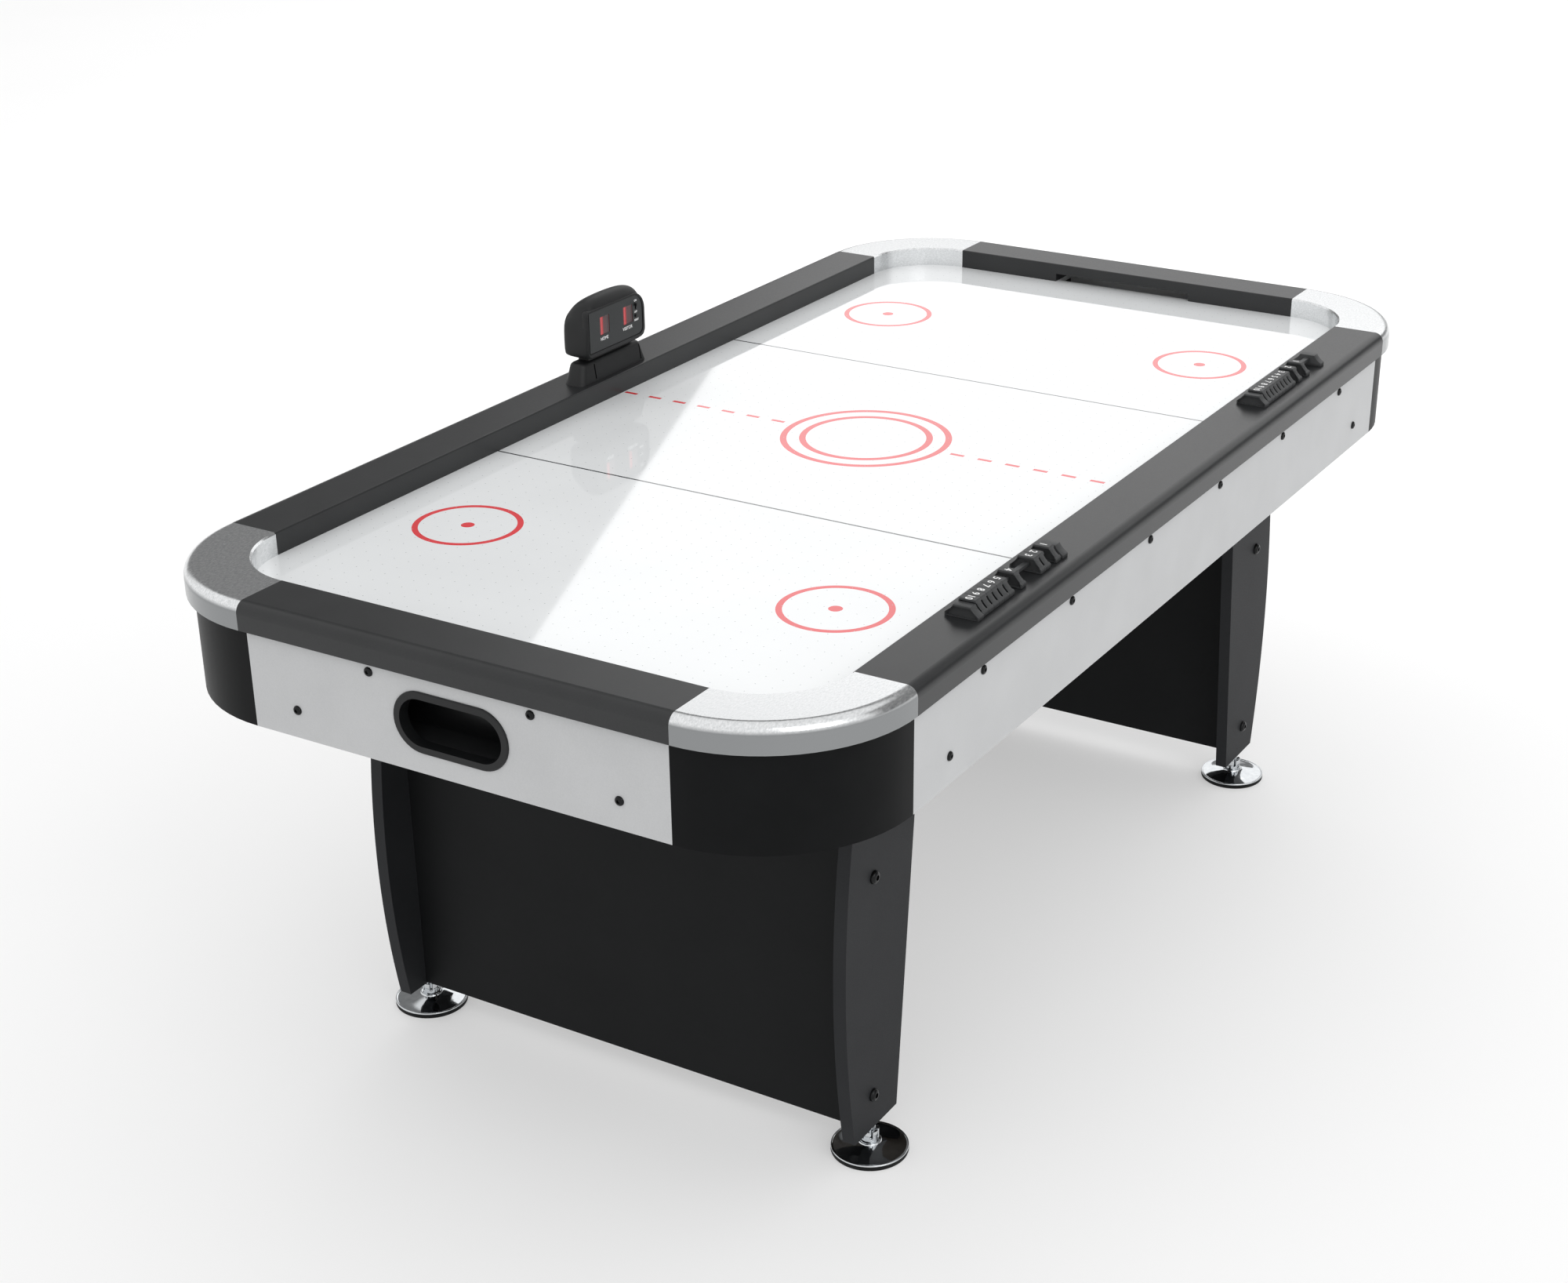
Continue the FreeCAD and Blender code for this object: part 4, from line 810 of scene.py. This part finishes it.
scoreStand = {
    "low": (-516.0, -102.5, 835.0), "high": (-476.0, 85.5, 870.0), "slope": 5.0, "endSlope": 12.0,
    "corner": 13.0, "edge": 6.0, "slots": (-62.0, 67.0), "slotWidth": 3.0, "slotDepth": 4.0,
    "slotSpan": (839.5, 864.0),
    "neckLow": (-507.0, -68.5, 869.0), "neckHigh": (-486.0, 51.5, 878.0), "neckEdge": 1.0,
}


def makeScoreStand(plan):
    # a pedestal that narrows upwards, with rounded corners and a slot near each end of its front
    stand = boxPiece("scoreStand", plan["low"], plan["high"])
    middle = [(a + b) / 2 for a, b in zip(plan["low"], plan["high"])]
    size = [b - a for a, b in zip(plan["low"], plan["high"])]
    bpy.ops.object.mode_set(mode="EDIT")
    selectEdges(stand, lambda spot, along: abs(along.z) > 0.9)
    bpy.ops.mesh.bevel(offset=plan["corner"] * mm, segments=8, affect="EDGES")
    selectCorners(stand, lambda spot: spot.z > plan["high"][2] - 0.1)
    shrink = (1 - 2 * plan["slope"] / size[0], 1 - 2 * plan["endSlope"] / size[1], 1)
    bpy.ops.transform.resize(value=shrink, center_override=[value * mm for value in middle])
    selectEdges(stand, lambda spot, along: spot.z > (plan["high"][2] - 0.1) * mm)
    bpy.ops.mesh.bevel(offset=plan["edge"] * mm, segments=5, affect="EDGES")
    faceOutwards()
    bpy.ops.object.mode_set(mode="OBJECT")
    for place in plan["slots"]:
        half = plan["slotWidth"] / 2
        back = plan["high"][0] - plan["slope"] - plan["slotDepth"]
        low = (back, place - half, plan["slotSpan"][0])
        slot = boxPiece("slot", low, (plan["high"][0] + 5, place + half, plan["slotSpan"][1]))
        takeAway(stand, slot)
    neck = boxPiece("neck", plan["neckLow"], plan["neckHigh"])
    applyModifier(neck, "BEVEL", width=plan["neckEdge"] * mm, segments=2)
    smooth(stand)
    return joinPieces("scoreStand", [stand, neck])


finishPiece(makeScoreStand(scoreStand), "mouldedAbs", "root", "score_plastic", "score_stand")

# printed words and numbers
ink = {"finish": "whiteInk", "lift": 0.03, "half": 0.04, "curveSteps": 4, "panelBold": 0.12, "beadBold": 0.2}


def inkText(name, words, size, place, turn, body, slot, bold):
    # text as a thin layer of ink that stands proud of its surface by its lift and half its thickness
    clearSelection()
    bpy.ops.object.text_add()
    text = bpy.context.object
    text.name = name
    text.data.body = words
    text.data.align_x = "CENTER"
    text.data.align_y = "CENTER"
    text.data.size = size * mm
    text.data.offset = bold * mm
    text.data.extrude = ink["half"] * mm
    text.data.resolution_u = ink["curveSteps"]
    bpy.ops.object.convert(target="MESH")
    text = bpy.context.object
    text.location = [value * mm for value in place]
    text.rotation_euler = [radians(value) for value in turn]
    settle(text)
    return finishPiece(text, ink["finish"], body, slot)


# each word's size, and its middle in y and z
scoreWords = {
    "wordHome": ("HOME", 7.6, -43.5, 904.8),
    "wordVisitor": ("VISITOR", 7.6, 22.5, 905.0),
    "wordOn": ("ON", 4.6, 47.5, 945.6),
    "wordOff": ("OFF", 4.6, 47.5, 926.4),
    "wordReset": ("RESET", 4.6, 49.0, 912.6),
}
for name, (words, size, y, z) in scoreWords.items():
    spot = (scoreHead["panel"][1][0] + ink["lift"], y, z)
    inkText(name, words, size, spot, (90, 0, 90), "root", "score_panel", ink["panelBold"])
print("scoreboard done")


# bead scorers

beads = {
    "railX": 505.5, "width": 48.0, "top": 23.0, "low": 835.4, "height": 21.0, "foot": 5.5,
    "thick": 14.7, "hollow": 1.9, "rings": 8, "edge": 0.45, "numeral": 15.0,
    # slot: depth of the gap in each flank, over this share of the height
    "slot": 1.7, "slotSpan": (0.36, 0.86), "wall": 2.2, "roof": 3.0, "pocket": 5.0, "overcut": 1.0,
}
endBlocks = dict(
    beads, width=50.0, top=25.0, low=835.0, height=17.5, foot=5.0, thick=15.0, slot=0.0
)
scorerBars = {
    "middles": {"near": -503.0, "far": 492.0}, "half": 132.0, "blockDeep": 15.0,
    "width": 8.0, "low": 843.0, "high": 848.0, "edge": 0.6,
}


def makeSaddle(name, plan, wall=0.0, roof=0.0, thick=0.0):
    # upright feet, hollow flanks and a flat top, about Y = 0; a wall and a roof make it the hollow inside
    middle, low = plan["railX"], plan["low"]
    height = plan["height"] - roof
    half = (thick or plan["thick"]) / 2 - (0 if wall else plan["slot"])
    outside = plan["width"] / 2 - wall
    piece = boxPiece(name, (middle - outside, -half, low), (middle + outside, half, low + height))
    bpy.ops.object.mode_set(mode="EDIT")
    flank = plan["height"] - plan["foot"]
    levels = [low + plan["foot"] + flank * i / plan["rings"] for i in range(plan["rings"])]
    levels = [level for level in levels if level < low + height - 0.1]
    sliceAcross(2, levels)
    for level in levels + [low + height]:
        rise = (level - low - plan["foot"]) / flank
        straight = plan["width"] / 2 + (plan["top"] - plan["width"]) / 2 * rise
        grow = (straight - plan["hollow"] * sin(pi * rise) - wall) / outside
        selectCorners(piece, lambda spot: abs(spot.z - level) < 0.01)
        bpy.ops.transform.resize(value=(grow, 1, 1), center_override=(middle * mm, 0, level * mm))
    if plan["slot"] and not wall:
        start, stop = plan["slotSpan"]
        for side in (-1, 1):
            selectFaces(piece, lambda spot, normal: normal.y * side > 0.9
                        and not start < (spot.z / mm - low) / plan["height"] < stop)
            bpy.ops.mesh.extrude_region_move(
                TRANSFORM_OT_translate={"value": (0, side * plan["slot"] * mm, 0)}
            )
    faceOutwards()
    bpy.ops.object.mode_set(mode="OBJECT")
    return piece


def makeShell(name, plan, sides=(-1, 1)):
    # a saddle with softened edges, hollowed from its ends up to a web in the middle
    shell = makeSaddle(name, plan)
    applyModifier(
        shell, "BEVEL", width=plan["edge"] * mm, segments=2, limit_method="ANGLE", angle_limit=radians(38)
    )
    lifted = dict(plan, low=plan["low"] + plan["overcut"])
    roof = plan["roof"] + plan["overcut"]
    for side in sides:
        inside = makeSaddle("inside", lifted, plan["wall"], roof, plan["pocket"] * 2)
        inside.location.y = side * plan["thick"] / 2 * mm
        settle(inside)
        takeAway(shell, inside)
    smooth(shell, 30)
    return shell


beadMaster = makeShell("beadMaster", beads)
for end in ("near", "far"):
    for number in range(1, 11):
        node = f"bead_{end}_{number}"
        low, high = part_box(node)
        middle = (low.y + high.y) / 2 / mm
        bead = copyTo(beadMaster, f"scoreBead_{end}_{number}", (0, middle, 0))
        finishPiece(bead, "beadPolystyrene", node, "bead_plastic", node)
        spot = (beads["railX"], middle, beads["low"] + beads["height"] + ink["lift"])
        name = f"beadNumber_{end}_{number}"
        inkText(name, str(number), beads["numeral"], spot, (0, 0, -90), node, "bead_plastic", ink["beadBold"])
bpy.data.objects.remove(beadMaster)

parts = []
for end, middle in scorerBars["middles"].items():
    for side in (-1, 1):
        # hollow towards the outside, closed towards the beads
        block = makeShell("endBlock", endBlocks, (side,))
        block.location.y = (middle + side * (scorerBars["half"] - scorerBars["blockDeep"] / 2)) * mm
        settle(block)
        parts.append(block)
    reachBar = scorerBars["half"] - scorerBars["blockDeep"] / 2
    half = scorerBars["width"] / 2
    low = (beads["railX"] - half, middle - reachBar, scorerBars["low"])
    bar = boxPiece("bar", low, (beads["railX"] + half, middle + reachBar, scorerBars["high"]))
    applyModifier(bar, "BEVEL", width=scorerBars["edge"] * mm, segments=2)
    parts.append(bar)
finishPiece(joinPieces("scorerFrames", parts), "beadPolystyrene", "root", "scorer_plastic", "scorer_frames")
print("beads: 20 on two bars")


# floor, light and camera

studio = {
    "floor": 30.0,
    "floorColours": ("#f3f3f3", "#f7f7f7"),
    "floorGlow": 0.38,
    "white": "#fafafa",
    "fill": 1.0,
    # how bright mirrors see the room, by direction: axis, its span, and the strength at either end of it
    "mirrorBands": (("Z", 0.0, 0.12, 1.0, 0.24), ("Z", 0.68, 0.76, 0.0, 0.95), ("Y", 0.2, 0.42, 1.0, 0.0)),
    # high softbox behind the table; its left edge shows as a line across the playfield
    "softboxPlace": (-1.07, 6.9, 3.0),
    "softboxSize": (6.6, 8.4),
    "softboxTurn": 21.6,
    "softboxPower": 190,
    # broad key high on the right, for the long side and the rails' outer rounding
    "keyPlace": (4.2, -2.6, 4.4),
    "keyAim": (0, 0, 0.6),
    "keySize": (3.0, 3.0),
    "keyPower": 60,
}

clearSelection()
bpy.ops.mesh.primitive_plane_add(size=studio["floor"], location=(0, 0, 0))
floor = bpy.context.object
floor.name = "studioFloor"
# matt paper: near white and even
floorMaterial, tree, shader, place = startMaterial(
    "mattPaperFloor", {"Roughness": 0.9, "Specular IOR Level": 0.1}
)
cloud = addNode(tree, "TexNoise", {"Scale": 1.2, "Detail": 2.0}, {"Vector": place})
dark, light = [hexLinear(code) for code in studio["floorColours"]]
paper = addNode(tree, "Mix", {"data_type": "RGBA", 6: dark, 7: light}, {0: cloud})
connect(tree, shader, {"Base Color": paper})
# to the camera, in metal and through a lens it is part lit and part white backdrop, so its shadows stay pale
rays = addNode(tree, "LightPath").outputs
seen = addNode(tree, "Math", {"operation": "MAXIMUM"}, {0: rays["Is Camera Ray"], 1: rays["Is Glossy Ray"]})
seen = addNode(tree, "Math", {"operation": "MAXIMUM"}, {0: seen, 1: rays["Is Transmission Ray"]})
share = addNode(tree, "Math", {"operation": "MULTIPLY", 1: studio["floorGlow"]}, {0: seen})
white = addNode(tree, "Emission", {"Color": hexLinear(studio["white"]), "Strength": 1.0})
surface = addNode(tree, "MixShader", {}, {0: share, 1: shader, 2: white})
connect(tree, tree.nodes["Material Output"], {"Surface": surface})
floor.data.materials.append(floorMaterial)

world = bpy.data.worlds.new("studioWorld")
bpy.context.scene.world = world
world.use_nodes = True
tree = world.node_tree
backdrop = tree.nodes["Background"]
backdrop.inputs["Color"].default_value = (1, 1, 1, 1)
rays = addNode(tree, "LightPath").outputs
view = addNode(tree, "TexCoord").outputs["Generated"]
heading = addNode(tree, "SeparateXYZ", {}, {"Vector": view}).outputs
bands = []
for axis, start, stop, low, high in studio["mirrorBands"]:
    span = {"From Min": start, "From Max": stop, "To Min": low, "To Max": high}
    bands.append(addNode(tree, "MapRange", span, {"Value": heading[axis]}))
bright = bands[0]
for band in bands[1:]:
    bright = addNode(tree, "Math", {"operation": "MAXIMUM"}, {0: bright, 1: band})
# soft light on the object, bands in its reflections, and plain white to the camera and through lenses
mirrored = {0: rays["Is Glossy Ray"], 3: bright}
level = addNode(tree, "Mix", {"data_type": "FLOAT", 2: studio["fill"]}, mirrored)
shown = {0: rays["Is Camera Ray"], 1: rays["Is Transmission Ray"]}
shown = addNode(tree, "Math", {"operation": "MAXIMUM"}, shown)
level = addNode(tree, "Mix", {"data_type": "FLOAT", 3: 1.0}, {0: shown, 2: level})
connect(tree, backdrop, {"Strength": level})


def addSoftbox(name, place, turn, size, power):
    clearSelection()
    bpy.ops.object.light_add(type="AREA", location=place, rotation=turn)
    lamp = bpy.context.object
    lamp.name = name
    lamp.data.shape = "RECTANGLE"
    lamp.data.size, lamp.data.size_y = size
    lamp.data.energy = power


turned = (0, 0, radians(studio["softboxTurn"]))
addSoftbox("highSoftbox", studio["softboxPlace"], turned, studio["softboxSize"], studio["softboxPower"])
aim = Vector(studio["keyAim"]) - Vector(studio["keyPlace"])
slant = aim.to_track_quat("-Z", "Y").to_euler()
addSoftbox("keySoftbox", studio["keyPlace"], slant, studio["keySize"], studio["keyPower"])

camera = {
    "place": (1.8394, -3.2140, 2.0841),
    "tilt": 90 - 26.048,
    "turn": 30.005,
    "sensor": 36,
    "lens": 56.22,
    "shift": (-0.0465, 0.0602),
    "farthest": 200,
}
clearSelection()
facing = (radians(camera["tilt"]), 0, radians(camera["turn"]))
bpy.ops.object.camera_add(location=camera["place"], rotation=facing)
viewer = bpy.context.object
viewer.name = "viewCamera"
viewer.data.sensor_width = camera["sensor"]
viewer.data.lens = camera["lens"]
viewer.data.shift_x, viewer.data.shift_y = camera["shift"]
viewer.data.clip_end = camera["farthest"]
bpy.context.scene.camera = viewer
bpy.context.scene.view_settings.view_transform = "Standard"
print("floor, two softboxes and camera")
